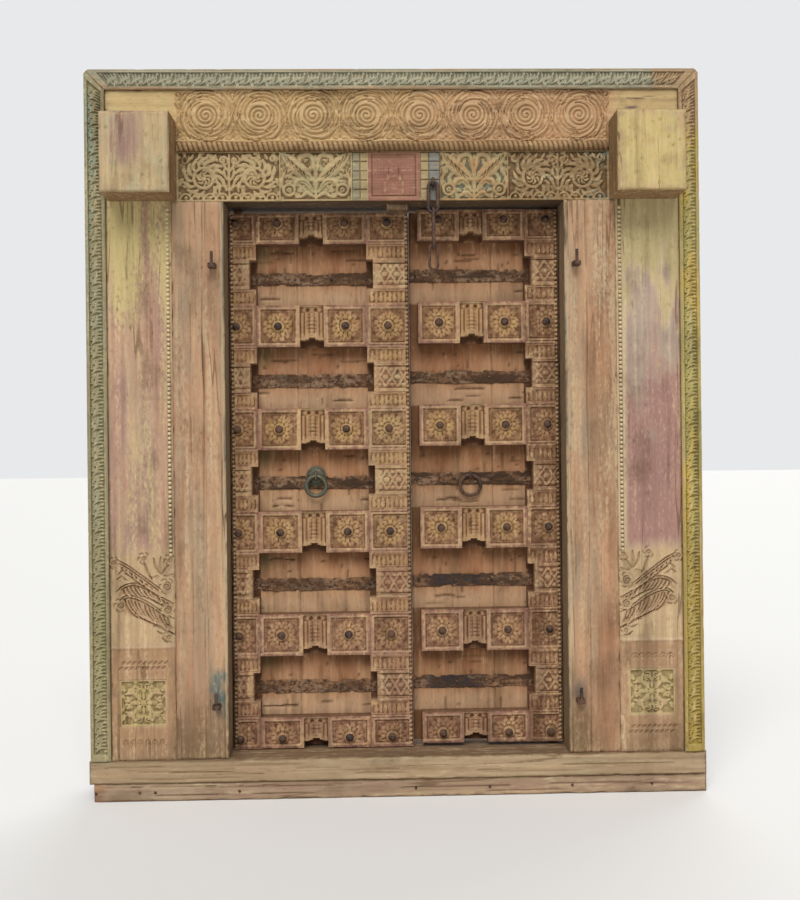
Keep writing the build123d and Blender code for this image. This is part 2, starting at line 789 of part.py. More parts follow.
def pull_rings():
    middle = middle_rail_count // 2
    left_x = left_strap[0] + (left_strap[1] - left_strap[0]) * left_ring_share
    left_z = field_middles(left_leaf_z)[middle] - strap_drop + left_ring_rise
    plate_face = strap_y - plate_rise
    left_y = plate_face - eye_gap - left_ring_iron
    save("left_ring_plate", dome(left_x, left_z, strap_y, plate_radius, plate_rise, plate_sides,
                                 plate_top_radius / plate_radius))
    save("left_ring_staple", staple(left_x, plate_face, left_y, left_z, staple_iron, left_ring_iron))
    save("left_ring", pull_ring(left_x, left_y, left_z, left_ring_radius, left_ring_iron))

    right_x = right_strap[0] + (right_strap[1] - right_strap[0]) * right_ring_share
    right_z = field_middles(right_leaf_z)[middle] - strap_drop + right_ring_rise
    right_y = strap_y - eye_gap - right_ring_iron
    save("right_ring_staple", staple(right_x, strap_y, right_y, right_z, staple_iron, right_ring_iron))
    save("right_ring", pull_ring(right_x, right_y, right_z, right_ring_radius, right_ring_iron))


# Chain of three forged links, turned a quarter from one to the next
def link_path(length, width, iron):
    # half round ends of three facets, so that each end has a short flat bar
    bend = width / 2 - iron
    straight = length / 2 - iron - bend * math.cos(math.pi / link_sides)
    ends = around(0, 0, bend, link_sides)
    upper = [(u, v + straight) for u, v in ends[:link_sides // 2 + 1]]
    lower = [(-u, -v) for u, v in upper]
    return [(bend, 0)] + upper + lower


def chain():
    x = chain_offset
    y = front_y - chain_standoff
    z_pivot = soffit + chain_rise
    save("chain_staple", staple(x, front_y, y, z_pivot, chain_staple_iron, upper_link_iron))
    links = (("chain_link_upper", upper_link_length, upper_link_width, upper_link_iron, False),
             ("chain_link_middle", middle_link_length, middle_link_width, middle_link_iron, True),
             ("chain_link_lower", lower_link_length, lower_link_width, lower_link_iron, False))
    top = z_pivot
    for place, (name, length, width, iron, turned) in enumerate(links):
        middle = top + iron - length / 2
        path = link_path(length, width, iron)
        points = [(x, y + u, middle + v) if turned else (x + u, y, middle + v) for u, v in path]
        save(name, forged(points, iron, True))
        if place + 1 < len(links):
            next_iron = links[place + 1][3]
            top = middle - length / 2 + 2 * iron + eye_gap + next_iron


sills()
jambs()
pilasters()
borders()
upper_lintel()
rope_moulding()
lower_lintel()
corner_blocks()
head_stop()
pintles()
leaves()
pull_rings()
chain()
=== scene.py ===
import math

import bpy
import numpy as np
from mathutils import Matrix, Vector


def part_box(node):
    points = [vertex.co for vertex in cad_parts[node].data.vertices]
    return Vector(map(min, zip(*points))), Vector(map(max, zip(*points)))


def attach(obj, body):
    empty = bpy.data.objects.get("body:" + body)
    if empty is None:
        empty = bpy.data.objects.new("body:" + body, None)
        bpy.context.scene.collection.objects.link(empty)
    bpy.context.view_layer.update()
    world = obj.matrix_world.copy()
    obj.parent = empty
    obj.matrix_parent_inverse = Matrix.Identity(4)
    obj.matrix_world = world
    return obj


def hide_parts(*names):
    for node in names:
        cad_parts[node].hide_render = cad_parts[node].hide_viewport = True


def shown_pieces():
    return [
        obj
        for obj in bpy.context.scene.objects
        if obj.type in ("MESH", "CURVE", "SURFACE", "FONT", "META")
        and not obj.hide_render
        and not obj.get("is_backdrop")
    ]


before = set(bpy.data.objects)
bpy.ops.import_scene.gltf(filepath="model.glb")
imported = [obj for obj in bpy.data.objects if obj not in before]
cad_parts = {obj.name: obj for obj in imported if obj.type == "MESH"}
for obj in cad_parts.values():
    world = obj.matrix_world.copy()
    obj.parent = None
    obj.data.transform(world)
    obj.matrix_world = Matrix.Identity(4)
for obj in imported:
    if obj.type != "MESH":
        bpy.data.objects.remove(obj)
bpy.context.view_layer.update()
scene = bpy.context.scene
scene.view_settings.view_transform = "Standard"
mm = 0.001
print("frame loaded, nodes:", len(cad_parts))


def tone(red, green, blue):
    # a colour as the eye names it, 0 to 255, as linear values
    shares = [c / 255 for c in (red, green, blue)]
    return (*[s / 12.92 if s < 0.0405 else ((s + 0.055) / 1.055) ** 2.4 for s in shares], 1.0)


class Flow:
    # a socket in a material, with operators that add Math nodes

    def __init__(self, tree, socket=None):
        self.tree = tree
        self.socket = socket

    def node(self, kind, settings=None, inputs=None, out=0):
        made = self.tree.nodes.new(kind)
        for key, value in (settings or {}).items():
            setattr(made, key, value)
        for key, value in (inputs or {}).items():
            if isinstance(value, Flow):
                self.tree.links.new(value.socket, made.inputs[key])
            else:
                made.inputs[key].default_value = value
        return Flow(self.tree, made.outputs[out])

    def maths(self, operation, *values):
        return self.node("ShaderNodeMath", {"operation": operation}, dict(enumerate(values)))

    def __add__(self, other):
        return self.maths("ADD", self, other)

    def __radd__(self, other):
        return self.maths("ADD", other, self)

    def __sub__(self, other):
        return self.maths("SUBTRACT", self, other)

    def __rsub__(self, other):
        return self.maths("SUBTRACT", other, self)

    def __mul__(self, other):
        return self.maths("MULTIPLY", self, other)

    def __rmul__(self, other):
        return self.maths("MULTIPLY", other, self)

    def fade(self, low, high):
        return self.node("ShaderNodeMapRange", {"interpolation_type": "SMOOTHSTEP"},
                         {0: self, 1: low, 2: high, 3: 0.0, 4: 1.0})

    def mix(self, low, high):
        return self.node("ShaderNodeMix", {"data_type": "RGBA"}, {0: self, 6: low, 7: high}, 2)

    def stretched(self, factors):
        return self.node("ShaderNodeVectorMath", {"operation": "MULTIPLY"}, {0: self, 1: factors})

    def brightened(self, factor):
        return self.node("ShaderNodeVectorMath", {"operation": "SCALE"}, {0: self, 3: factor})

    def noise(self, scale, detail, roughness):
        return self.node("ShaderNodeTexNoise", {}, {"Vector": self, "Scale": scale, "Detail": detail,
                                                    "Roughness": roughness})

    def layer(self, name, out="Fac"):
        return self.node("ShaderNodeAttribute", {"attribute_name": name}, out=out)

    def into(self, shader, name):
        self.tree.links.new(self.socket, shader.inputs[name])


def newMaterial(name):
    material = bpy.data.materials.new(name)
    material.use_nodes = True
    tree = material.node_tree
    return material, Flow(tree), tree.nodes["Principled BSDF"]


# Old wood: two coats of paint that flake along the fibre, rubbed crests with a painted highlight, and dirt with painted
# shade in the cuts
def agedWood(name, look):
    material, flow, shader = newMaterial(name)
    place = flow.node("ShaderNodeTexCoord", out="Object")
    grain = Vector(look["grain"])
    fibre = place.stretched(grain).noise(1.0, 6.0, 0.62)
    streak = place.stretched(grain * 0.34).noise(1.0, 6.0, 0.68)
    split = place.stretched(grain * 0.17).noise(1.0, 3.0, 0.5)
    cloud = place.noise(look["cloud"], 5.0, 0.6)
    flake = place.stretched(look["flake"]).noise(1.0, 9.0, 0.76)
    bare = streak.fade(0.34, 0.66).mix(look["woodDark"], look["wood"])
    # the second coat flakes where little of it is left
    left = flow.layer("over", "Alpha") * 1.5 - 0.5 + (flake * 1.4 + streak - 1.2) * 2.4
    coats = left.fade(0.0, 1.0).mix(flow.layer("paint", "Color"), flow.layer("over", "Color"))
    painted = coats.brightened(0.74 + cloud * 0.52)
    rubbed = flake * 0.5 + streak * 0.3 + cloud * 0.2 + flow.layer("crest") * look["rub"]
    worn = rubbed.fade(0.6 - 0.2 * look["loss"], 0.76 - 0.2 * look["loss"])
    # chalky flakes of paint, and a painted highlight on the crests of the carving
    chalk = (flake * 0.65 + fibre * 0.35).fade(0.5, 0.64) * look["chalk"] + flow.layer("crest") * look["crestHighlight"]
    surface = chalk.mix(worn.mix(painted, bare), look["pale"]).brightened(0.36 + fibre * 0.52 + streak * 0.4)
    offset = split - 0.5
    crack = (0.009 - offset.maths("ABSOLUTE", offset)).fade(0.0, 0.006) * cloud.fade(0.44, 0.6) * look["cracks"]
    speck = (0.45 - flake).fade(0.0, 0.12)
    umber = (0.49 - (streak + cloud) * 0.5).fade(0.0, 0.12)
    # the hollows darken with dirt and painted shade; specks, stains and cracks are dirt
    dip = flow.layer("dip") * look["hollowDirtAndShade"] + speck * 0.4 + umber * 0.36 + crack * 0.8
    dirtAndShade = dip.maths("MINIMUM", dip, 0.9)
    dirtAndShade.mix(surface, look["dirtAndShade"]).into(shader, "Base Color")
    (0.7 + fibre * 0.24).into(shader, "Roughness")
    relief = fibre * 0.55 + flake * 0.4 - worn * 0.2 - crack * 0.8
    bump = flow.node("ShaderNodeBump", {}, {"Strength": look["relief"], "Distance": 0.0012, "Height": relief})
    bump.into(shader, "Normal")
    shader.inputs["Specular IOR Level"].default_value = 0.2
    return material


# Forged iron under rust, and old bronze under its patina
def agedMetal(name, look):
    material, flow, shader = newMaterial(name)
    place = flow.node("ShaderNodeTexCoord", out="Object")
    pits = place.noise(look["pits"], 6.0, 0.65)
    patch = place.stretched(look["patch"]).noise(1.0, 6.0, 0.66)
    crust = (pits * 0.4 + patch * 0.6).fade(look["crust"], look["crust"] + 0.13)
    scale = flow.layer("paint", "Color") if look["dusty"] else look["scale"]
    crust.mix(look["metal"], scale).brightened(0.5 + pits * 1.0).into(shader, "Base Color")
    (look["gloss"] + crust * 0.34).into(shader, "Roughness")
    (look["shine"] - crust * look["shine"]).into(shader, "Metallic")
    shader.inputs["Specular IOR Level"].default_value = look["specular"]
    bump = flow.node("ShaderNodeBump", {}, {"Strength": 0.8, "Distance": 0.0014, "Height": pits + crust * 0.5})
    bump.into(shader, "Normal")
    return material


upGrain = (75.0, 75.0, 3.2)
acrossGrain = (3.2, 75.0, 75.0)
commonWood = {"grain": upGrain, "flake": (130.0, 130.0, 58.0), "cloud": 7.0, "wood": tone(196, 158, 120),
              "woodDark": tone(154, 116, 82), "loss": 0.35, "rub": 0.12, "hollowDirtAndShade": 0.7, "dirtAndShade": tone(86, 62, 38),
              "relief": 0.6, "chalk": 0.5, "pale": tone(222, 202, 164), "cracks": 0.7, "crestHighlight": 0.2}
pilasterWood = agedWood("pilasterWood", {**commonWood, "hollowDirtAndShade": 0.28})
borderLook = {**commonWood, "hollowDirtAndShade": 0.26, "rub": 0.04}
borderUp = agedWood("borderWoodUpright", {**borderLook, "flake": (110.0, 110.0, 70.0), "loss": 0.12, "cracks": 0.0,
                                          "wood": tone(176, 146, 106), "dirtAndShade": tone(70, 62, 38)})
borderAcross = agedWood("borderWoodAcross", {**borderLook, "grain": acrossGrain, "flake": (70.0, 110.0, 110.0),
                                             "loss": 0.14, "cracks": 0.3, "wood": tone(172, 142, 110),
                                             "dirtAndShade": tone(66, 62, 48)})
lintelLook = {**commonWood, "grain": acrossGrain, "flake": (60.0, 120.0, 120.0), "loss": 0.3, "cracks": 0.2,
              "wood": tone(206, 170, 120), "woodDark": tone(176, 136, 92), "dirtAndShade": tone(92, 66, 38)}
upperWood = agedWood("upperLintelWood", {**lintelLook, "hollowDirtAndShade": 0.44, "crestHighlight": 0.24})
lintelWood = agedWood("lintelWood", {**lintelLook, "chalk": 0.26, "crestHighlight": 0.1, "wood": tone(192, 160, 112)})
sillWood = agedWood("sillWood", {**commonWood, "grain": (2.0, 60.0, 60.0), "flake": (22.0, 90.0, 90.0), "loss": 0.5,
                                 "wood": tone(184, 154, 120), "woodDark": tone(124, 100, 72), "relief": 0.9})
jambWood = agedWood("jambWood", {**commonWood, "loss": 0.4, "chalk": 0.3, "cloud": 4.0, "pale": tone(208, 184, 146),
                                 "wood": tone(198, 160, 124), "woodDark": tone(158, 120, 88)})
leafWood = agedWood("leafWood", {**commonWood, "flake": (120.0, 120.0, 80.0), "loss": 0.32, "rub": 0.1, "cloud": 9.0,
                                 "wood": tone(204, 164, 116), "woodDark": tone(164, 122, 86), "dirtAndShade": tone(84, 54, 34),
                                 "cracks": 0.0, "chalk": 0.28, "hollowDirtAndShade": 0.86, "crestHighlight": 0.12})
plankWood = agedWood("plankWood", {**commonWood, "flake": (110.0, 110.0, 26.0), "loss": 0.4, "cloud": 5.0, "chalk": 0.3,
                                   "cracks": 0.08, "wood": tone(188, 144, 106), "woodDark": tone(140, 98, 66),
                                   "pale": tone(210, 176, 140)})
commonMetal = {"pits": 190.0, "patch": (34.0, 34.0, 34.0), "crust": 0.42, "metal": tone(54, 48, 46),
               "scale": tone(92, 64, 46), "gloss": 0.48, "dusty": False, "shine": 0.7, "specular": 0.5}
wroughtIron = agedMetal("wroughtIron", commonMetal)
strapIron = agedMetal("strapIron", {**commonMetal, "pits": 130.0, "patch": (50.0, 50.0, 90.0), "dusty": True,
                                    "shine": 0.0, "gloss": 0.66, "specular": 0.12, "metal": tone(76, 54, 38)})
ringBronze = agedMetal("ringBronze", {**commonMetal, "metal": tone(92, 86, 68), "scale": tone(74, 82, 70),
                                      "crust": 0.46, "gloss": 0.4})
print("materials ready")


# Carving: heights in mm over a board's face
def ease(low, high, value):
    share = np.clip((value - low) / (high - low), 0, 1)
    return share * share * (3 - 2 * share)


def speckle(u, v, size, seed):
    # smooth noise from 0 to 1 with features of one size
    table = np.random.default_rng(seed).random((97, 89))
    u, v = np.asarray(u) / size + 970, np.asarray(v) / size + 890
    i, j = np.floor(u).astype(int), np.floor(v).astype(int)
    a, b = u - i, v - j
    a, b = a * a * (3 - 2 * a), b * b * (3 - 2 * b)
    low = table[i % 97, j % 89] * (1 - a) + table[(i + 1) % 97, j % 89] * a
    high = table[i % 97, (j + 1) % 89] * (1 - a) + table[(i + 1) % 97, (j + 1) % 89] * a
    return low * (1 - b) + high * b


def cloudy(x, z, wide, tall, seed):
    # noise in three sizes, longer one way
    return (0.55 * speckle(x / wide, z / tall, 1, seed) + 0.3 * speckle(x / wide, z / tall, 0.4, seed + 1)
            + 0.15 * speckle(x / wide, z / tall, 0.17, seed + 2))


def soften(field, reach):
    # a running mean, twice along each edge
    for axis in (0, 1, 0, 1):
        span = 2 * reach + 1
        edges = [(reach + 1, reach) if axis == side else (0, 0) for side in (0, 1)]
        total = np.cumsum(np.pad(field, edges, mode="edge"), axis)
        ahead = np.take(total, range(span, total.shape[axis]), axis)
        field = (ahead - np.take(total, range(total.shape[axis] - span), axis)) / span
    return field


def dome(x, z, radius):
    return np.sqrt(np.clip(1 - (x * x + z * z) / radius ** 2, 0, 1))


def arch(value, half):
    # a round back, 1 at its middle and 0 from half off
    return np.sqrt(np.clip(1 - (value / half) ** 2, 0, 1))


def bell(value, wide):
    # a soft line or spot, 1 at its middle
    return np.exp(-(value / wide) ** 2)


def inset(x, z, box):
    # how far inside a box each point is
    left, right, foot, top = box
    return np.minimum(np.minimum(x - left, right - x), np.minimum(z - foot, top - z))


def polar(x, z, radius, angle):
    return x + radius * math.cos(angle), z + radius * math.sin(angle)


def bend(points, count):
    # a smooth line through a few points
    points = np.asarray(points, float)
    ends = np.vstack([2 * points[0] - points[1], points, 2 * points[-1] - points[-2]])
    out = []
    for share in np.linspace(0, len(points) - 1, count):
        k = min(int(share), len(points) - 2)
        t = share - k
        p0, p1, p2, p3 = ends[k:k + 4]
        out.append(0.5 * (2 * p1 + (p2 - p0) * t + (2 * p0 - 5 * p1 + 4 * p2 - p3) * t * t
                          + (3 * p1 - p0 - 3 * p2 + p3) * t ** 3))
    return np.array(out)


def coil(x, z, inner, outer, turns, start, hand, count=46):
    share = np.linspace(0, 1, count)
    angle = start + hand * 2 * np.pi * turns * share
    radius = inner + (outer - inner) * share
    return np.column_stack([x + radius * np.cos(angle), z + radius * np.sin(angle)])


def gridLines(low, high, cell, carved=None, carvedCell=None):
    # close together along the worn arrises and in the carved stretch
    stops = np.linspace(low, high, max(2, round((high - low) / cell) + 1))
    if carved:
        stops = stops[(stops < carved[0]) | (stops > carved[1])]
        stops = np.append(stops, np.linspace(*carved, round((carved[1] - carved[0]) / carvedCell) + 1))
    first, second, clear, least = 1.3, 3.2, 3.8, 0.25  # mm in from the arris, and the least step
    edge = [low, low + first, low + second, high - second, high - first, high]
    stops = stops[(stops > low + clear) & (stops < high - clear)]
    stops = np.unique(np.append(stops, edge))
    return stops[np.append(True, np.diff(stops) > least)]


class Carving:
    # a board's face: heights above it, its paint, what is left of a second coat, and the wood of its sides

    def __init__(self, xs, zs, paint, sides):
        self.xs, self.zs, self.sides = xs, zs, sides
        self.x, self.z = np.meshgrid(xs, zs)
        self.height = np.zeros_like(self.x)
        self.paint = np.ones(self.x.shape + (4,))
        self.paint[:] = paint
        self.over = np.zeros(self.x.shape + (4,))

    def window(self, low, high, foot, top):
        rows = slice(*np.searchsorted(self.zs, (foot, top)))
        cols = slice(*np.searchsorted(self.xs, (low, high)))
        return rows, cols

    def cloud(self, wide, tall, seed):
        return cloudy(self.x, self.z, wide, tall, seed)

    def specks(self, size, seed):
        return speckle(self.x, self.z, size, seed)

    def shape(self, box, maker, how):
        part = self.window(*box)
        if self.height[part].size:
            self.height[part] = how(self.height[part], maker(self.x[part], self.z[part]))

    def put(self, box, maker):
        self.shape(box, maker, lambda old, new: new)

    def lift(self, box, maker):
        self.shape(box, maker, np.maximum)

    def add(self, box, maker):
        self.shape(box, maker, np.add)

    def strand(self, path, width, ends):
        # how near each point is to a line that tapers to its ends, 1 on it
        path = np.asarray(path, float)
        low, high = path.min(0) - width, path.max(0) + width
        part = self.window(low[0], high[0], low[1], high[1])
        x, z = self.x[part], self.z[part]
        near = np.zeros_like(x)
        count = len(path) - 1
        for k in range(count):
            start, run = path[k], path[k + 1] - path[k]
            t = np.clip(((x - start[0]) * run[0] + (z - start[1]) * run[1]) / (run @ run + 1e-9), 0, 1)
            away = np.hypot(x - start[0] - t * run[0], z - start[1] - t * run[1])
            half = width / 2 * (ends + (1 - ends) * np.sin(np.pi * (k + t) / count))
            near = np.maximum(near, 1 - (away / half) ** 2)
        return part, np.clip(near, 0, 1)

    def ridge(self, path, width, foot, top, ends=0.4, vein=0.0):
        part, near = self.strand(path, width, ends)
        rise = foot + (top - foot) * near ** 0.55 - vein * ease(0.8, 1, near)
        self.height[part] = np.where(near > 0, np.maximum(self.height[part], rise), self.height[part])

    def score(self, path, width, depth, ends=0.3):
        part, near = self.strand(path, width, ends)
        self.height[part] -= depth * near ** 0.7

    def boss(self, x, z, radius, foot, top):
        self.lift((x - radius, x + radius, z - radius, z + radius),
                  lambda u, v: np.where(dome(u - x, v - z, radius) > 0,
                                        foot + (top - foot) * dome(u - x, v - z, radius), -99))

    def foliage(self, box, count, width, level, seed, folds=2):
        # short curved leaves, the same on both sides of the middle, or in all four quarters
        left, right, low, high = box
        middle, centre = (left + right) / 2, (low + high) / 2
        rng = np.random.default_rng(seed)
        for _ in range(count):
            u = rng.uniform(0.03, 0.96) * (right - middle)
            v = rng.uniform(0.03, 0.96) * (high - centre) if folds == 4 else rng.uniform(low + 3, high - 3) - centre
            turn, bow, length = rng.uniform(0, 6.28), rng.uniform(-1.3, 1.3), width * rng.uniform(1.6, 2.6)
            way = [turn + bow * s for s in (0, 0.33, 0.67, 1)]
            run = np.cumsum([[length / 4 * math.cos(a), length / 4 * math.sin(a)] for a in way], 0) + (u, v)
            for sx, sz in ((1, 1), (-1, 1), (1, -1), (-1, -1))[:folds]:
                floor = 2 if folds == 4 else low - centre + 2
                path = np.clip(run, (2, floor), (right - middle - 2, high - centre - 2))
                self.ridge(path * (sx, sz) + (middle, centre), width, level - 4, level, 0.45, 1.7)

    def pit(self, x, z, radius, depth):
        self.add((x - radius, x + radius, z - radius, z + radius),
                 lambda u, v: -depth * dome(u - x, v - z, radius))

    def edges(self):
        return inset(self.x, self.z, (self.xs[0], self.xs[-1], self.zs[0], self.zs[-1]))

    def wear(self, depth, seed, sway=0.6):
        # rounded arrises with nicks, and a face that is no longer flat
        edges = self.edges()
        reach = 3 + 7 * self.specks(37, seed) ** 2
        nick = ease(0.68, 0.9, self.specks(21, seed + 1))
        self.height -= depth * (1 - ease(0, reach, edges)) + 2.6 * nick * (1 - ease(0, 9, edges))
        self.height += sway * (self.cloud(90, 90, seed + 2) - 1)

    def share(self, mask, box, part=None):
        part = part or (self.window(*box) if box else (slice(None), slice(None)))
        if callable(mask):
            mask = mask(self.x[part], self.z[part])
        return part, np.broadcast_to(np.clip(mask, 0, 1), self.x[part].shape)[..., None]

    def tint(self, colour, mask, box=None, part=None):
        part, mask = self.share(mask, box, part)
        self.paint[part] = self.paint[part] * (1 - mask) + np.array(colour) * mask

    def coat(self, colour, mask, box=None):
        # a second paint, which flakes where little of it is left
        part, mask = self.share(mask, box)
        left = self.over[part][..., 3:]
        blend = mask / np.maximum(left + mask, 1e-6)
        mixed = self.over[part][..., :3] * (1 - blend) + np.array(colour[:3]) * blend
        self.over[part] = np.concatenate([mixed, np.maximum(left, mask)], -1)


boardEdges = {"shoulder": 5.0, "bevel": 2.4}


def slab(field, yFace, yBack, warp=None, ragged=False):
    # a carved face closed to a board: a narrow shoulder, plain sides and a bevelled back;
    # the sides of a ragged one follow every step of its outline
    rows, cols = field.x.shape
    count = rows * cols
    front = np.column_stack([field.x.ravel(), (yFace - field.height).ravel(), field.z.ravel()])
    index = np.arange(count).reshape(rows, cols)
    quads = [np.column_stack([index[:-1, :-1].ravel(), index[:-1, 1:].ravel(), index[1:, 1:].ravel(),
                              index[1:, :-1].ravel()])]
    outline = np.concatenate([index[0, ::-1], index[1:, 0], index[-1, 1:], index[-2:0:-1, -1]])
    corners = outline if ragged else index[[0, 0, -1, -1], [-1, 0, 0, -1]]
    edge, corner = np.zeros(count, int), np.zeros(count, int)
    edge[outline] = count + np.arange(len(outline))
    corner[corners] = count + len(outline) + np.arange(len(corners))
    shoulder, heel, rear = front[outline].copy(), front[corners].copy(), front[corners].copy()
    shoulder[:, 1] += np.minimum(boardEdges["shoulder"], 0.4 * (yBack - shoulder[:, 1]))
    bevel = min(boardEdges["bevel"], 0.4 * (yBack - front[:, 1].max()))
    heel[:, 1] = yBack - bevel
    rear[:, 0] = np.clip(rear[:, 0], field.xs[0] + bevel, field.xs[-1] - bevel)
    rear[:, 1] = yBack
    rear[:, 2] = np.clip(rear[:, 2], field.zs[0] + bevel, field.zs[-1] - bevel)
    caps = [corner[corners] + len(corners)]
    for loop in (index[0], index[-1, ::-1], index[::-1, 0], index[:, -1]):
        near, far = edge[loop], corner[loop if ragged else loop[[0, -1]]]
        quads.append(np.column_stack([loop[:-1], near[:-1], near[1:], loop[1:]]))
        quads.append(np.column_stack([far[:-1], far[:-1] + len(corners), far[1:] + len(corners), far[1:]]))
        if ragged:
            quads.append(np.column_stack([near[:-1], far[:-1], far[1:], near[1:]]))
        else:
            caps.append(np.concatenate([near[:1], far, near[:0:-1]]))
    points = np.vstack([front, shoulder, heel, rear])
    if warp:
        points = warp(points)
    # how deep each point lies in a hollow, and how far it stands on a crest; the material darkens the hollows with dirt
    # and painted shade, and lightens the crests with wear and a painted highlight
    near, wide = soften(field.height, 2), soften(field.height, 4)
    dip = np.clip(0.5 * (near - field.height) / 1.3 + 0.5 * (wide - field.height) / 3.0, 0, 1)
    crest = np.clip((field.height - wide) / 2.0, 0, 1)
    layers = plainLayers(len(points), field.sides)
    layers["paint"][:count] = field.paint.reshape(-1, 4)
    layers["over"][:count] = field.over.reshape(-1, 4)
    layers["dip"][:count], layers["crest"][:count] = dip.ravel(), crest.ravel()
    return points, np.vstack(quads), caps, layers


def joined(*parts):
    # several closed forms as one
    points, quads, caps, layers, start = [], [], [], {}, 0
    for somePoints, someQuads, someCaps, someLayers in parts:
        points.append(somePoints)
        quads.append(np.asarray(someQuads) + start)
        caps += [cap + start for cap in someCaps]
        start += len(somePoints)
        for key, values in someLayers.items():
            layers.setdefault(key, []).append(values)
    layers = {key: np.concatenate(values) for key, values in layers.items()}
    return np.vstack(points), np.vstack(quads), caps, layers


def plainLayers(count, colour):
    return {"paint": np.tile(np.array(colour, float), (count, 1)), "over": np.zeros((count, 4)),
            "dip": np.zeros(count), "crest": np.zeros(count)}


ironColour = tone(92, 64, 46)


def turned(profile, sides, place, colour=ironColour, lumps=0.0, seed=0):
    # a round form that stands off the face towards the front; the profile is (radius, height) from its seat out
    angle = np.arange(sides) * 2 * np.pi / sides
    rings = []
    for step, (radius, rise) in enumerate(profile):
        size = radius * (1 - lumps * speckle(np.cos(angle) * 40 + step * 9, np.sin(angle) * 40, 21, seed))
        rings.append(np.column_stack([place[0] + size * np.cos(angle), np.full(sides, place[1] - rise),
                                      place[2] + size * np.sin(angle)]))
    points = np.vstack(rings)
    quads = []
    for ring in range(len(profile) - 1):
        for k in range(sides):
            a, b = ring * sides + k, ring * sides + (k + 1) % sides
            quads.append((a, b, b + sides, a + sides))
    last = (len(profile) - 1) * sides
    for k in range(sides // 2 - 1):
        quads.append((last + k, last + k + 1, last + sides - 2 - k, last + sides - 1 - k))
        quads.append((sides - 1 - k, sides - 2 - k, k + 1, k))
    return points, np.array(quads), [], plainLayers(len(points), colour)


def tube(path, radius, closed, sides=12, lumps=0.05, seed=0, colour=ironColour):
    # a bar bent along a flat path
    path = np.asarray(path, float)
    count = len(path)
    ahead = np.roll(path, -1, 0) if closed else np.vstack([path[1:], 2 * path[-1] - path[-2]])
    behind = np.roll(path, 1, 0) if closed else np.vstack([2 * path[0] - path[1], path[:-1]])
    way = ahead - behind
    way /= np.linalg.norm(way, axis=1)[:, None]
    flat = np.linalg.svd(path - path.mean(0))[2][2]
    side = np.cross(way, flat)
    side /= np.linalg.norm(side, axis=1)[:, None]
    up = np.cross(side, way)
    angle = np.arange(sides) * 2 * np.pi / sides
    run = np.arange(count)[:, None] * 7.0
    size = radius * (1 - lumps * speckle(run + 0 * angle, angle[None, :] * 9 + 0 * run, 11, seed))
    points = (path[:, None, :] + size[..., None] * (np.cos(angle)[None, :, None] * side[:, None, :]
                                                    + np.sin(angle)[None, :, None] * up[:, None, :])).reshape(-1, 3)
    quads = []
    for k in range(count if closed else count - 1):
        for s in range(sides):
            a, b = k * sides + s, k * sides + (s + 1) % sides
            c, d = (a + sides) % len(points), (b + sides) % len(points)
            quads.append((a, b, d, c))
    if not closed:
        last = (count - 1) * sides
        for s in range(sides // 2 - 1):
            quads.append((sides - 1 - s, sides - 2 - s, s + 1, s))
            quads.append((last + s, last + s + 1, last + sides - 2 - s, last + sides - 1 - s))
    return points, np.array(quads), [], plainLayers(len(points), colour)


def addPiece(name, made, body, material, replaced, angle=42):
    points, quads, caps, layers = made
    loops = np.concatenate([quads.ravel(), *caps]).astype(np.int32)
    sizes = np.array([4] * len(quads) + [len(cap) for cap in caps], np.int32)
    mesh = bpy.data.meshes.new(name)
    mesh.vertices.add(len(points))
    mesh.vertices.foreach_set("co", (np.asarray(points) * mm).astype(np.float32).ravel())
    mesh.loops.add(len(loops))
    mesh.loops.foreach_set("vertex_index", loops)
    mesh.polygons.add(len(sizes))
    mesh.polygons.foreach_set("loop_start", np.cumsum(sizes, dtype=np.int32) - sizes)
    mesh.update(calc_edges=True)
    for key, values in layers.items():
        colour = values.ndim == 2
        layer = mesh.attributes.new(key, "FLOAT_COLOR" if colour else "FLOAT", "POINT")
        layer.data.foreach_set("color" if colour else "value", values.astype(np.float32).ravel())
    mesh.shade_smooth()
    mesh.set_sharp_from_angle(angle=math.radians(angle))
    mesh.materials.append(material)
    piece = bpy.data.objects.new(name, mesh)
    scene.collection.objects.link(piece)
    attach(piece, body)
    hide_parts(*replaced)
    return piece


def spans(node):
    # a CAD node's box in mm: x, y and z from low to high
    low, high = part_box(node)
    return [(low[k] / mm, high[k] / mm) for k in range(3)]


def blankBoard(node, acrossCell, upCell, paint, sides):
    # a node's box, and a plain face over its front
    box = spans(node)
    return box, Carving(gridLines(*box[0], acrossCell), gridLines(*box[2], upCell), paint, sides)


bothSides = ((-1, "left"), (1, "right"))


# Sills: weathered beams with drying cracks
sills = {"upper": tone(178, 150, 116), "lower": tone(166, 134, 112), "redPaint": tone(196, 116, 76),
         "stain": tone(122, 98, 70), "pale": tone(204, 186, 152), "sides": tone(128, 102, 76),
         "splits": 16}


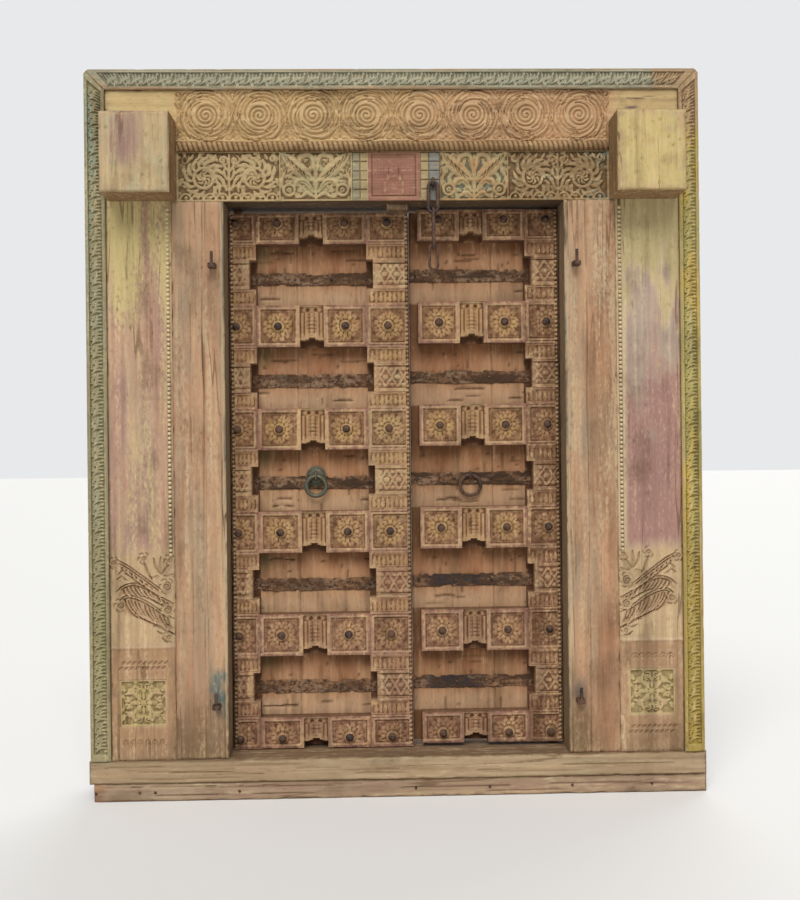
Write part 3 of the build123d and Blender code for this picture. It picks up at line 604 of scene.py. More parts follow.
def makeSills():
    for node, colour, seed in (("upper_sill", sills["upper"], 11), ("lower_sill", sills["lower"], 12)):
        ((x0, x1), (y0, y1), (z0, z1)), field = blankBoard(node, 6, 3.4, colour, sills["sides"])
        field.wear(3.2, seed, 1.6)
        rng = np.random.default_rng(seed)
        for _ in range(sills["splits"]):
            start, z = rng.uniform(x0, x1 - 120), rng.uniform(z0 + 8, z1 - 8)
            length = rng.uniform(70, 340)
            field.score(bend([(start, z), (start + length / 3, z + rng.uniform(-3, 3)), (start + length, z)], 8),
                        rng.uniform(4.5, 7), rng.uniform(1.2, 2.6))
        field.coat(sills["stain"], 0.95 * (field.cloud(210, 22, seed + 7) - 0.22))
        field.tint(sills["pale"], 1.4 * (field.cloud(170, 15, seed + 9) - 0.48))
        # painted shade: the face darkens along every edge, where the sills meet their neighbours
        field.tint(sills["stain"], 0.75 * (1 - ease(2, 8, field.edges())))
        if node == "lower_sill":
            field.coat(sills["redPaint"], lambda x, z: 0.95 * (1 - ease(x0 + 12, x0 + 60, x)))
        addPiece(node + "_board", slab(field, y0, y1), "frame", sillWood, [node])


# Jambs: bare boards with scored lines and traces of paint at their edges
jambs = {"board": tone(194, 154, 120), "pale": tone(206, 186, 148), "teal": tone(76, 102, 102),
         "warm": tone(190, 138, 104), "dark": tone(122, 98, 70), "grey": tone(160, 148, 124),
         "rust": tone(150, 104, 72), "smudge": tone(84, 78, 78), "sides": tone(140, 116, 88),
         "lines": ((10, 2.6, 5), (61, 1.8, 6), (96, 1.2, 7)), "pintleX": 522, "pintleZ": 306}


def makeJambs():
    for side, name in bothSides:
        node = name + "_inner_jamb"
        ((x0, x1), (y0, y1), _), field = blankBoard(node, 2.8, 9, jambs["board"], jambs["sides"])
        inner = x1 if side < 0 else x0
        away = np.abs(field.x - inner)
        field.wear(2.6, 21 + side, 1.8)
        for line, depth, seed in jambs["lines"]:
            run = away - line - 5 * speckle(field.z, field.z * 0, 190, seed) * (line > 20)
            shown = ease(0.2, 0.5, speckle(field.z, field.z * 0, 150, seed + 3))
            field.height -= depth * bell(run, 1.8) * shown
        flecks = field.cloud(30, 260, 31 + side)
        field.coat(jambs["pale"], (0.25 + 0.9 * (flecks - 0.4)) * ease(260, 620, field.z))
        field.tint(jambs["warm"], 1.6 * (field.cloud(44, 330, 35 + side) - 0.36))
        field.tint(jambs["grey"], 1.5 * (field.cloud(26, 210, 39 + side) - 0.42))
        field.tint(jambs["dark"], 1.2 * (field.cloud(34, 120, 41 + side) - 0.52))
        field.tint(jambs["pale"], 0.6 * (1 - ease(7, 14, away)))
        field.tint(jambs["teal"], 0.7 * (1 - ease(2, 9, away)) * ease(0.4, 0.7, field.cloud(9, 90, 44)))
        # the stain round the lower pintle
        stain, tall = (1.0, 92) if side < 0 else (0.35, 40)
        reach = np.hypot((field.x - side * jambs["pintleX"]) / 30, (field.z - jambs["pintleZ"]) / tall)
        reach += 1.6 * (field.cloud(16, 36, 46) - 0.35)
        field.tint(jambs["teal"], stain * (0.9 - 0.7 * reach))
        field.coat(jambs["teal"], stain * (1.2 - 0.8 * reach))
        field.tint(jambs["smudge"], 0.8 * np.exp(-((field.x - side * 524) / 17) ** 2 - ((field.z - 296) / 26) ** 2))
        damp = field.z + 110 * (field.cloud(30, 70, 47) - 0.4)
        field.tint(jambs["dark"], 0.95 * (1 - ease(140, 380, damp)))
        if side > 0:
            outer = 1.1 * ease(540, 612, field.x) * (field.cloud(24, 150, 51) - 0.2)
            field.tint(jambs["rust"], outer * ease(150, 400, field.z))
            outer = 0.8 * ease(540, 600, field.x) * (1 - ease(430, 640, field.z))
            field.tint(jambs["warm"], outer * field.cloud(24, 110, 49))
        addPiece(node + "_board", slab(field, y0, y1), "frame", jambWood, [node])


# Pilasters: a cut spray of plumes over a square of leaves, rows of chip-cut teeth and a string of beads
pilasters = {"left": tone(196, 166, 134), "right": tone(212, 186, 150), "mauve": tone(166, 128, 120),
             "pink": tone(196, 152, 126), "yellow": tone(206, 186, 128), "green": tone(194, 178, 122),
             "cut": tone(196, 166, 124), "bead": tone(226, 206, 164), "low": tone(174, 134, 98),
             "sides": tone(150, 120, 88), "grooveShade": tone(98, 74, 52), "russet": tone(158, 114, 80),
             "leaf": tone(194, 174, 108), "grey": tone(178, 158, 144), "wine": tone(168, 120, 110),
             "cell": 2.3, "face": -84.0, "sprayFoot": 449, "sprayHeight": 258, "lineGap": 6.8,
             "carved": (150, 724), "square": {"left": 283.5, "right": 293.5}, "squareHalf": 67,
             "teeth": {"left": (381, 396), "right": (173, 188)}, "waves": {"left": (164, 13), "right": (398, 7)},
             "beads": 78, "beadFoot": 711, "beadPitch": 12.95, "beadIn": 10.0,
             "beadProfile": [(5.5, -1.0), (5.6, 0.8), (5.0, 2.9), (3.5, 4.6), (1.5, 5.6)]}
# places in the spray run from its outer foot to its inner top, 0 to 1;
# a plume has its spine, then how many lines, how many barbs and how long a barb is
plumes = (([(0.98, 0.30), (0.80, 0.38), (0.60, 0.48), (0.40, 0.55), (0.24, 0.56), (0.12, 0.49)], 2, 11, 80),
          ([(0.98, 0.47), (0.80, 0.54), (0.60, 0.64), (0.40, 0.70), (0.22, 0.68), (0.10, 0.61)], 2, 11, 36),
          ([(0.80, 0.62), (0.64, 0.71), (0.45, 0.81), (0.26, 0.91), (0.10, 0.97)], 3, 8, 27))
barbLine = ((0.02, 0.06), (0.12, 0.36), (0.34, 0.68), (0.62, 0.9))
sprayCoils = ((0.165, 0.455, 10), (0.88, 0.66, 13), (0.89, 0.395, 12), (0.53, 0.975, 7), (0.93, 0.95, 7),
              (0.06, 0.93, 7), (0.9, 0.09, 6))
sprayCuts = (((0.66, 0.72), (0.58, 0.84), (0.53, 0.94)), ((0.78, 0.80), (0.71, 0.88), (0.68, 0.98)),
             ((0.79, 0.81), (0.78, 0.90), (0.79, 1.0)), ((0.80, 0.80), (0.87, 0.86), (0.92, 0.90)),
             ((0.74, 0.78), (0.66, 0.76), (0.60, 0.78)), ((0.84, 0.78), (0.93, 0.78), (0.98, 0.80)),
             ((0.66, 0.22), (0.76, 0.21), (0.86, 0.16)), ((0.72, 0.16), (0.82, 0.13), (0.90, 0.14)),
             ((0.86, 0.24), (0.92, 0.22), (0.97, 0.17)), ((0.80, 0.08), (0.86, 0.05), (0.94, 0.04)),
             ((0.12, 0.80), (0.20, 0.83), (0.28, 0.80)), ((0.10, 0.74), (0.18, 0.77), (0.26, 0.74)))


def spray(field, at):
    gap = pilasters["lineGap"]
    inward = 1 if at(1, 0)[0] > at(0, 0)[0] else -1
    for points, lines, barbs, size in plumes:
        spine = bend([at(u, v) for u, v in points], 44)
        run = np.gradient(spine, axis=0)
        run /= np.linalg.norm(run, axis=1)[:, None]
        down = np.column_stack([run[:, 1], -run[:, 0]])
        down *= np.where(down[:, 1] > 0, -1, 1)[:, None]
        for k in range(lines):
            part = slice(2 * k, 44 - 4 * k)
            field.ridge((spine + down * (gap * k - gap / 2))[part], 6.0, 0, 2.2, 0.3)
            field.score((spine + down * gap * k)[part], 6.6, 4.6, 0.25)
        part, near = field.strand(spine + down * 0.34 * size, 0.8 * size, 0.3)
        field.tint(pilasters["russet"], 0.5 * ease(0, 0.5, near), part=part)
        for k in range(barbs):
            s = int(43 * (0.1 + 0.84 * k / barbs))
            length = size * (0.5 + 0.55 * math.sin(math.pi * (0.12 + 0.8 * k / barbs)))
            root = spine[s] + down[s] * gap * (lines - 1)
            path = [root + length * np.array((inward * a, -b)) for a, b in barbLine]
            field.ridge(bend(path, 14) + (inward * 5.2, 1.6), 7.0, 0, 2.4, 0.3)
            field.score(bend(path, 14), 8.2, 5.2, 0.2)
    for u, v, radius in sprayCoils:
        x, z = at(u, v)
        field.boss(x, z, radius + 5, 0, 2.0)
        field.score(coil(x, z, 2.2, radius, 1.5, -math.pi / 2, inward, 30), 6.2, 5.0, 0.5)
        for k in range(4):
            a = inward * (0.5 + 1.1 * k)
            hook = [polar(x, z, radius + r, a + t * inward) for r, t in ((4, 0), (9, 0.3), (11, 0.8))]
            field.score(bend(hook, 7), 6.4, 3.6)
    for points in sprayCuts:
        field.ridge(bend([at(u + 0.03, v) for u, v in points], 10), 8.0, 0, 2.2, 0.3)
        field.score(bend([at(u, v) for u, v in points], 10), 9.6, 5.2, 0.2)


def leafSquare(field, middle, centre, half):
    # a boss among petals, in a bed of leaves that fill the square; gives how far in each point is
    ground = -6.4
    e = np.minimum(half - np.abs(field.x - middle), half - np.abs(field.z - centre))
    field.height -= 2.4 * bell(e - 1, 1.5) + 5.4 * ease(3, 6, e)
    box = (middle - half + 5, middle + half - 5, centre - half + 5, centre + half - 5)
    field.foliage(box, 22, 9, -1.6, 71, 4)
    field.height -= 1.6 * field.specks(7, 73) * ease(3, 6, e)
    for k in range(8):
        a = k * math.pi / 4
        c, s = math.cos(a), math.sin(a)
        reach = 52 if k % 2 else 30
        field.ridge([polar(middle, centre, r, a) for r in (10, 20, reach)], 12, ground, -0.6, 0.4, 1.6)
        if k % 2:
            for lean in (-0.7, 0.7):
                x, z = polar(middle, centre, 40, a)
                leaflet = [(x, z), polar(x, z, 12, a + lean), polar(x, z, 25, a + 1.3 * lean)]
                field.ridge(bend(leaflet, 8), 10, ground, -0.8, 0.4, 1.4)
        else:
            for hand in (1, -1):
                x, z = middle + 46 * c - hand * 11 * s, centre + 46 * s + hand * 11 * c
                field.ridge(coil(x, z, 2, 9, 1.1, a, hand, 18), 6.4, ground, -0.8, 0.6)
    field.boss(middle, centre, 9, ground, -0.4)
    return e


def makePilasters():
    look, face = pilasters, pilasters["face"]
    for side, name in bothSides:
        node = name + "_pilaster"
        (x0, x1), (_, y1), (z0, z1) = spans(node)
        inner, outer = (x1, x0) if side < 0 else (x0, x1)
        rows = gridLines(z0, z1, 11, look["carved"], look["cell"])
        field = Carving(gridLines(x0, x1, look["cell"]), rows, look[name], look["sides"])
        field.wear(2.2, 51 + side, 1.2)
        middle = (x0 + x1) / 2
        flecks = field.cloud(26, 240, 61 + side)
        high = ease(700, 750, field.z + 40 * (flecks - 0.5))
        field.tint(look["cut"], 0.75 * ease(446, 456, field.z) * (1 - high))
        spray(field, lambda u, v: (outer + (inner - outer) * u, look["sprayFoot"] + look["sprayHeight"] * v))
        field.height += 1.8 * bell(field.z - 443, 2.4) * (np.abs(field.x - inner) > 10)
        square = leafSquare(field, middle, look["square"][name], look["squareHalf"])

        # rows of chip-cut teeth, and a band of waves
        for row, foot in enumerate(look["teeth"][name]):
            for k in range(9):
                x = middle - 64 + 15.2 * (k + 0.5 * row)
                field.score([(x - 5, foot), (x + 1, foot + 4), (x + 6, foot + 8)], 10, 3.4, 0.35)
        foot, lift = look["waves"][name]
        for k in range(6):
            x = middle - 60 + 21 * k
            field.score(bend([(x, foot), (x + 8, foot + lift), (x + 17, foot + 3)], 8), 7, 2.8)
            field.score(bend([(x + 3, foot - 7), (x + 10, foot + lift - 9), (x + 19, foot - 5)], 8), 6, 2.2)

        # paint: long soft patches that flake, with painted shade in the square's hollows and under the corner block
        off = np.abs(field.x - inner)
        if side < 0:
            field.tint(look["mauve"], 0.7 * high * ease(0.4, 0.66, field.cloud(40, 420, 63)))
            field.tint(look["pink"], 0.7 * high * ease(0.46, 0.7, field.cloud(34, 330, 65)))
            field.coat(look["yellow"], high * (0.25 + 0.9 * (flecks - 0.4) + 0.5 * ease(1300, 1640, field.z)))
        else:
            blotch = field.cloud(44, 130, 67) - 0.5
            field.tint(look["green"], 0.7 * ease(1420, 1560, field.z + 500 * blotch))
            purple = high * (1 - ease(1380, 1500, field.z + 700 * blotch)) * ease(18, 34, off)
            field.tint(look["grey"], 0.8 * purple)
            field.tint(look["wine"], 0.8 * purple * (1 - ease(1050, 1300, field.z + 500 * blotch)))
            field.coat(look["mauve"], 0.45 * purple + 0.5 * high * (flecks - 0.42))
            field.coat(look["pink"], 0.34 * high * ease(26, 18, off))
        field.tint(look["leaf"], 0.85 * ease(-1, 3, square) * (0.55 + 0.6 * flecks))
        # painted shade in the deep parts of the square
        field.tint(look["grooveShade"], 0.35 * ease(2, 5, square) * ease(-3.4, -5.6, field.height))
        low = (1 - ease(440, 448, field.z)) * (1 - ease(-2, 2, square))
        field.tint(look["low"], 0.85 * low)
        field.coat(look["mauve"], low * (0.1 + 0.6 * (flecks - 0.3)))
        # darker at both ends: painted shade at the top under the corner block, and darker towards the foot
        ends = 0.1 * ease(1690, 1740, field.z + 40 * flecks) + 0.75 * (1 - ease(130, 240, field.z + 60 * flecks))
        field.tint(look["sides"], ends)

        # the string of beads along the inner edge, over a strip of painted shade where a groove would be
        field.tint(look["grooveShade"], ease(708, 712, field.z) * np.exp(-((off - look["beadIn"]) / 5) ** 4))
        parts = [slab(field, face, y1)]
        for k in range(look["beads"]):
            place = (inner + side * look["beadIn"], face, look["beadFoot"] + look["beadPitch"] * k)
            parts.append(turned(look["beadProfile"], 8, place, look["bead"], 0.14, 80 + k))
        addPiece(node + "_board", joined(*parts), "frame", pilasterWood, [node], 50)


# Borders: running fronds in a sunk channel, mitred at the upper corners
borders = {"left": tone(154, 144, 108), "right": tone(202, 174, 88), "top": tone(164, 162, 138),
           "wood": tone(172, 140, 104), "gold": tone(168, 140, 60), "rust": tone(132, 92, 66),
           "teal": tone(134, 162, 148), "green": tone(164, 158, 98), "dark": tone(112, 104, 74),
           "sides": tone(126, 102, 74), "cell": 2.25, "face": -94.0, "ground": -5.4, "frondPitch": 42, "width": 58,
           "corner": 6, "innerX": 832, "innerZ": 2053, "mitreX": 700, "mitreZ": 1950}


def fronds(field, long, rim, ends, margin, spare, across):
    # a sunk channel between scored rims, and overlapping fronds along it, each with a curl at its root;
    # long is 0 for a board that lies along x and 1 for one that stands
    ground = borders["ground"]
    lines = field.zs if long else field.xs
    start, length = lines[0] + margin + 6, lines[-1] - lines[0] - spare
    field.height = ground * ease(9, 11.5, rim) * ease(margin, margin + 4, ends)
    field.height -= 1.8 * bell(rim - 5.5, 1.5)

    def spot(a, b):
        return (b, a) if long else (a, b)

    count = round(length / borders["frondPitch"])
    for k in range(count):
        foot = start + length / count * k
        for j in range(4):
            blade = (spot(foot + 3 * j, across - 16 + 2 * j), spot(foot + 12 + 6 * j, across - 4 + j),
                     spot(foot + 15 + 9.4 * j, across + 8 - j), spot(foot + 12 + 11 * j, across + 17 - j))
            field.ridge(bend(blade, 14), 7.4, ground, -0.3, 0.5)
        for j in range(3):
            blade = (spot(foot + 25 + 6 * j, across - 17), spot(foot + 31 + 6 * j, across - 9 + 2 * j),
                     spot(foot + 33 + 6 * j, across + 2 * j))
            field.ridge(bend(blade, 9), 6.4, ground, -0.7, 0.5)
        curl = coil(*spot(foot + 21, across - 12), 1.5, 6.0, 1.2, -1.2, -1 if long else 1, 18)
        field.ridge(curl, 5.0, ground, -0.2, 0.8)
        field.boss(*spot(foot + 4, across + 14), 5.0, ground, -0.6)
    # painted shade on the deepest ground of the channel
    field.tint(borders["dark"], 0.2 * ease(-2.5, -5, field.height))


def mitred(points, along, out, base, inner, end):
    # the last stretch of a border grows towards its outer edge, and the corner is worn off
    corner, width = borders["corner"], borders["width"]
    far = np.abs(points[:, along])
    off = np.abs(points[:, out]) - inner
    reach = np.where(far > base, base + (far - base) * (end - base + off) / (end - corner + width - base), far)
    over = np.clip(reach - end + off - 2 * (width - corner), 0, None) / 2
    points[:, along] = np.sign(points[:, along]) * (reach - over)
    points[:, out] -= np.sign(points[:, out]) * over
    return points


def makeBorders():
    look, cell, face = borders, borders["cell"], borders["face"]
    for side, name in bothSides:
        node = name + "_border"
        ((x0, x1), (_, y1), (z0, z1)), field = blankBoard(node, cell, cell, look[name], look["sides"])
        rim = np.minimum(field.x - x0, x1 - field.x)
        ends = np.minimum(field.z - z0, z1 - field.z)
        fronds(field, 1, rim, ends, 20, 62, (x0 + x1) / 2)
        field.wear(2.4, 101 + side, 1.6)
        flecks = field.cloud(40, 200, 103 + side)
        if side < 0:
            field.coat(look["teal"], (0.2 + 0.9 * (flecks - 0.3)) * ease(400, 1100, field.z))
            field.coat(look["green"], 0.5 * (1 - ease(400, 1100, field.z + 300 * (flecks - 0.5))))
            field.coat(look["wood"], 0.5 * (1 - ease(3, 10, rim)))
        else:
            field.coat(look["wood"], 0.7 * (flecks - 0.25) + 0.7 * ease(1800, 1980, field.z + 120 * (flecks - 0.5)))
            field.tint(look["rust"], 0.8 * ease(1900, 2030, field.z + 120 * (flecks - 0.5)))
            field.tint(look["green"], 0.7 * ease(0.4, 0.65, field.cloud(30, 150, 109)))
            field.tint(look["gold"], 0.7 * (1 - ease(500, 1100, field.z + 300 * (flecks - 0.5))))
            field.coat(look["wood"], 0.55 * (1 - ease(3, 10, rim)))
        board = slab(field, face, y1, lambda p: mitred(p, 2, 0, look["mitreZ"], look["innerX"], look["innerZ"]))
        addPiece(node + "_board", board, "frame", borderUp, [node])
    ((x0, x1), (_, y1), (z0, z1)), field = blankBoard("top_border", cell, cell, look["top"], look["sides"])
    rim = np.minimum(field.z - z0, z1 - field.z)
    ends = np.minimum(field.x - x0, x1 - field.x)
    fronds(field, 0, rim, ends, 26, 72, (z0 + z1) / 2)
    field.wear(2.6, 121, 1.6)
    flecks = field.cloud(180, 30, 123)
    field.coat(look["wood"], 0.8 * (flecks - 0.3) + 0.5 * (1 - ease(3, 10, rim)))
    along = field.x + 60 * flecks
    field.coat(look["wood"], ease(740, 820, along) + 0.8 * (1 - ease(-880, -780, along)))
    board = slab(field, face, y1, lambda p: mitred(p, 0, 2, look["mitreX"], look["innerZ"], look["innerX"]))
    addPiece("top_border_board", board, "frame", borderAcross, ["top_border"])


# Upper lintel: a row of scroll roundels cut in narrow lines
upperLintel = {"ochre": tone(212, 174, 120), "pink": tone(206, 160, 118), "plain": tone(216, 190, 134),
               "purple": tone(112, 88, 92), "sides": tone(140, 108, 74), "cell": 2.2, "roundels": 8, "carvedTo": 638,
               "pitch": 155.0, "reach": 620.0, "smears": ((705, 2026, 64, 8), (694, 2000, 40, 9), (746, 2032, 36, 5))}


def roundel(field, cx, cz, hand, rng):
    # a short spiral inside rings of overlapping crescents
    field.score(coil(cx, cz, 3, 36, 2.8, rng.uniform(0, 6.2), hand, 90), 8.6, 4.4, 0.5)
    for radius, count in ((45, 4), (55, 5), (65, 5), (75, 6)):
        turn = rng.uniform(0, 6.2)
        for k in range(count):
            share = np.linspace(0, 1, 16)
            angle = turn + 2 * np.pi / count * (k + rng.uniform(0.95, 1.3) * hand * share)
            away = radius + rng.uniform(5, 9) * (0.4 - share)
            field.score(np.column_stack([cx + away * np.cos(angle), cz + away * np.sin(angle)]),
                        rng.uniform(7.0, 10.0), rng.uniform(3.0, 5.0), 0.25)
    for _ in range(18):
        a, r = rng.uniform(0, 6.2), rng.uniform(40, 66)
        hook = [polar(cx, cz, r + s, a + hand * t) for s, t in ((0, 0), (7, 0.12), (12, 0.36))]
        field.score(bend(hook, 8), 6.4, 2.6, 0.25)
    for radius, low, high in ((80, 0.2, 1.0), (89, 0.5, 0.9), (98, 0.64, 0.8)):
        for sx in (-1, 1):
            for sz in (-1, 1):
                angle = np.linspace(low, high, 9) + rng.uniform(-0.05, 0.05)
                arc = np.column_stack([cx + sx * radius * np.cos(angle), cz + sz * radius * np.sin(angle)])
                field.score(arc, 6.8, 3.8)


def makeUpperLintel():
    look = upperLintel
    (x0, x1), (y0, y1), (z0, z1) = spans("upper_lintel")
    edge = look["carvedTo"]
    columns = gridLines(x0, x1, 10, (-edge, edge), look["cell"])
    field = Carving(columns, gridLines(z0, z1, look["cell"]), look["ochre"], look["sides"])
    middle = (z0 + z1) / 2 + 2
    rng = np.random.default_rng(130)
    carved = ease(edge - 2, edge - 10, np.abs(field.x))
    field.height -= 3.0 * bell(field.z - z0 - 8, 1.6) * carved
    for k in range(look["roundels"]):
        roundel(field, look["pitch"] * (k + 0.5) - look["reach"], middle, 1 if k % 2 else -1, rng)
    for k in range(look["roundels"] + 1):
        cx = look["pitch"] * k - look["reach"]
        for sign in (-1, 1):
            # hooked leaves and berries in the spandrels
            for s in (-1, 1):
                for a, b in ((6, 20), (14, 34), (24, 46)):
                    field.score(bend([(cx + s * 2, middle + sign * (44 - a)), (cx + s * a, middle + sign * 58),
                                      (cx + s * b, middle + sign * 69)], 9), 7.6, 4.0, 0.3)
                field.score(bend([(cx + s * 3, middle + sign * 5), (cx + s * 5, middle + sign * 18),
                                  (cx + s * 12, middle + sign * 34)], 9), 7.0, 3.4, 0.3)
            for bx, bz in (((-13, 62), (0, 57), (13, 62)) if sign < 0 else ((0, 62),)):
                field.score(coil(cx + bx, middle + sign * bz, 6.6, 6.6, 1, 0, 1, 18), 5.0, 3.6, 1.0)
    field.height = np.maximum(field.height, -6.0) * carved
    field.wear(1.8, 131, 1.8)
    flecks = field.cloud(160, 40, 133)
    field.tint(look["pink"], 0.9 * ease(-200, 300, field.x + 300 * (flecks - 0.5)))
    field.coat(look["plain"], 0.2 + 0.7 * (flecks - 0.4) - 0.15 * ease(-200, 300, field.x))
    field.tint(look["plain"], 0.8 * ease(620, 660, np.abs(field.x) + 30 * (flecks - 0.5)))
    for u, v, wide, tall in look["smears"]:
        away = np.hypot((field.x - u) / wide, (field.z - v) / tall)
        field.coat(look["purple"], 1.5 - 1.2 * away - 0.6 * field.cloud(14, 8, 137))
    addPiece("upper_lintel_board", slab(field, y0, y1), "frame", upperWood, ["upper_lintel"], 60)


# Rope moulding
ropeLook = {"colour": tone(182, 144, 98), "dark": tone(118, 86, 56), "pitch": 14.5, "cut": 6.5, "face": -84.0,
            "rise": 13.6, "reach": 628}


def makeRope():
    (_, (_, y1), (z0, z1)), field = blankBoard("rope_moulding", 2.0, 1.9, ropeLook["colour"], ropeLook["dark"])
    t = (field.z - (z0 + z1) / 2) / ((z1 - z0) / 2)
    phase = (field.x + 4 * t) / ropeLook["pitch"]
    strand = np.abs(np.sin(np.pi * phase)) ** 0.6
    body = ropeLook["rise"] * np.sqrt(np.clip(1 - (t * 0.98) ** 2, 0, 1))
    field.height = np.maximum(body - ropeLook["cut"] * (1 - strand), 0) * (np.abs(field.x) < ropeLook["reach"])
    field.height -= 0.8 * field.specks(24, 141)
    # painted shade in the cuts between the strands, and darker patches
    field.tint(ropeLook["dark"], 0.9 * (1 - strand) + 0.5 * field.cloud(160, 60, 143))
    addPiece("rope_moulding_board", slab(field, ropeLook["face"], y1), "frame", lintelWood, ["rope_moulding"],
             70)


# Lower lintel: scroll panels, plant panels, tile columns and the red panel
lowerLintel = {"buff": tone(192, 168, 124), "ground": tone(98, 76, 46), "teal": tone(122, 142, 128),
               "red": tone(166, 116, 98), "redDark": tone(136, 86, 76), "grey": tone(144, 140, 114),
               "tan": tone(174, 154, 112), "orange": tone(186, 134, 84), "green": tone(176, 168, 124),
               "blue": tone(128, 134, 132), "brown": tone(146, 112, 74), "sides": tone(96, 74, 52), "cell": 2.2,
               "scrollPanels": ((-622, -332), (335, 622)), "plantPanels": ((-328, -125), (137, 331)),
               "redPanel": (-75, 76), "columns": ((-121, -98, "grey"), (-98, -76, "tan"), (77, 102, "tan"),
                                                  (102, 134, "blue")), "tiles": 5}


def scrollPanel(field, left, right, foot, top):
    # two leafy scrolls that meet at the panel's middle, broad over a dark ground
    middle, height, wide, ground = (left + right) / 2, top - foot, right - left, -7.0
    field.put((left, right, foot, top), lambda x, z: np.full_like(x, ground))
    field.foliage((left, right, foot, top), 70, 11, -2.2, int(right) + 700)
    for side in (-1, 1):
        cx, cz = middle + side * wide * 0.25, foot + height * 0.45
        field.ridge(coil(cx, cz, 24, 33, 1.25, math.pi * 0.5, side, 44), 11, ground, 0, 0.8, 1.6)
        field.boss(cx, cz, 7, ground, -0.5)
        for k in range(7):
            a = 2 * math.pi * k / 7
            petal = [polar(cx, cz, r, a + side * t) for r, t in ((7, 0.0), (14, 0.2), (20, 0.7))]
            field.ridge(bend(petal, 8), 9, ground, -0.6, 0.5)
        for k in range(14):
            a = 2 * math.pi * k / 14 + 0.2
            path = [polar(cx, cz, r, a + side * t) for r, t in ((36, 0.0), (48, 0.16), (60, 0.5))]
            if left + 3 < path[2][0] < right - 3 and foot + 3 < path[2][1] < top - 2:
                field.ridge(bend(path, 9), 13, ground, -0.2, 0.5, 1.8)
        for path in (coil(middle + side * 17, top - 22, 4, 15, 1.2, 0, side, 26),
                     coil(middle + side * wide * 0.44, top - 18, 4, 13, 1.1, 0, -side, 24)):
            field.ridge(path, 8, ground, -0.2, 0.7)
        for k in range(5):
            x = middle + side * wide * (0.13 + 0.075 * k)
            field.ridge([(x, top - 3), (x + side * 5, top - 13), (x + side * 10, top - 20)], 10, ground, -0.4, 0.4)
        for lift in (0.18, 0.4, 0.6):
            stem = [(middle + side * out, foot + height * (lift + up)) for out, up in ((3, 0), (13, 0.12), (15, 0.26))]
            field.ridge(bend(stem, 8), 10, ground, -0.3, 0.4, 1.4)
        # the cusped lower edge
        for k in range(4):
            x = middle + side * wide * (0.065 + 0.122 * k)
            field.ridge(coil(x, foot + 1, 14, 17, 0.5, 0, 1, 14), 8, ground, -0.1, 0.8)
            field.boss(x, foot + 6, 6, ground, -0.3)
    field.ridge([(middle, foot + 3), (middle, foot + height * 0.55), (middle, top - 4)], 10, ground, 0, 0.6, 1.6)


def plantPanel(field, left, right, foot, top):
    # a plant between two great leaves, with eyes in the lower corners
    middle, height, half, ground = (left + right) / 2, top - foot, (right - left) / 2, -6.0
    field.put((left, right, foot, top), lambda x, z: np.full_like(x, ground))
    field.foliage((left, right, foot, top), 46, 12, -2.4, int(right) + 700)
    field.ridge([(middle, foot + 4), (middle, foot + height * 0.5), (middle, top - 10)], 15, ground, 0, 0.6, 2.0)
    for side in (-1, 1):
        def at(u, v):
            return (middle + side * half * u, foot + height * v)

        field.ridge(bend([at(0.1, 0.42), at(0.38, 0.58), at(0.66, 0.78), at(0.95, 0.97)], 16), 44, ground, 0.2, 0.35)
        for k in range(6):
            u = 0.24 + 0.11 * k
            cut = [at(u, 0.22 + 0.72 * u), at(u + 0.08, 0.34 + 0.7 * u), at(u + 0.11, 0.46 + 0.66 * u)]
            field.score(bend(cut, 8), 4.6, 3.6)
        field.score(bend([at(0.14, 0.44), at(0.4, 0.6), at(0.86, 0.92)], 10), 4.4, 3.4)
        field.ridge(bend([at(0.05, 0.66), at(0.15, 0.92), at(0.4, 0.9), at(0.5, 0.74)], 16), 22, ground, 0.2, 0.5)
        field.score(bend([at(0.1, 0.72), at(0.19, 0.88), at(0.38, 0.86)], 10), 4.2, 3.2)
        field.ridge(bend([at(0.08, 0.16), at(0.3, 0.38), at(0.52, 0.4), at(0.62, 0.28)], 16), 20, ground, -0.2, 0.5)
        field.score(bend([at(0.12, 0.22), at(0.32, 0.38), at(0.54, 0.36)], 10), 4.0, 3.0)
        field.ridge(bend([at(0.04, 0.04), at(0.24, 0.14), at(0.42, 0.05)], 10), 14, ground, -0.4, 0.5)
        x, z = at(0.76, 0.2)
        field.ridge(coil(x, z, 16, 16, 1.0, 0, 1, 30), 9, ground, 0, 1.0)
        field.boss(x, z, 8.5, ground, 0)
        field.pit(x, z, 3.4, 4)
        field.ridge(bend([at(0.93, 0.14), at(0.97, 0.4), at(0.86, 0.62)], 12), 11, ground, -0.3, 0.4)
        field.ridge(bend([at(0.6, 0.98), at(0.7, 0.9), at(0.78, 0.97)], 10), 10, ground, -0.3, 0.4)


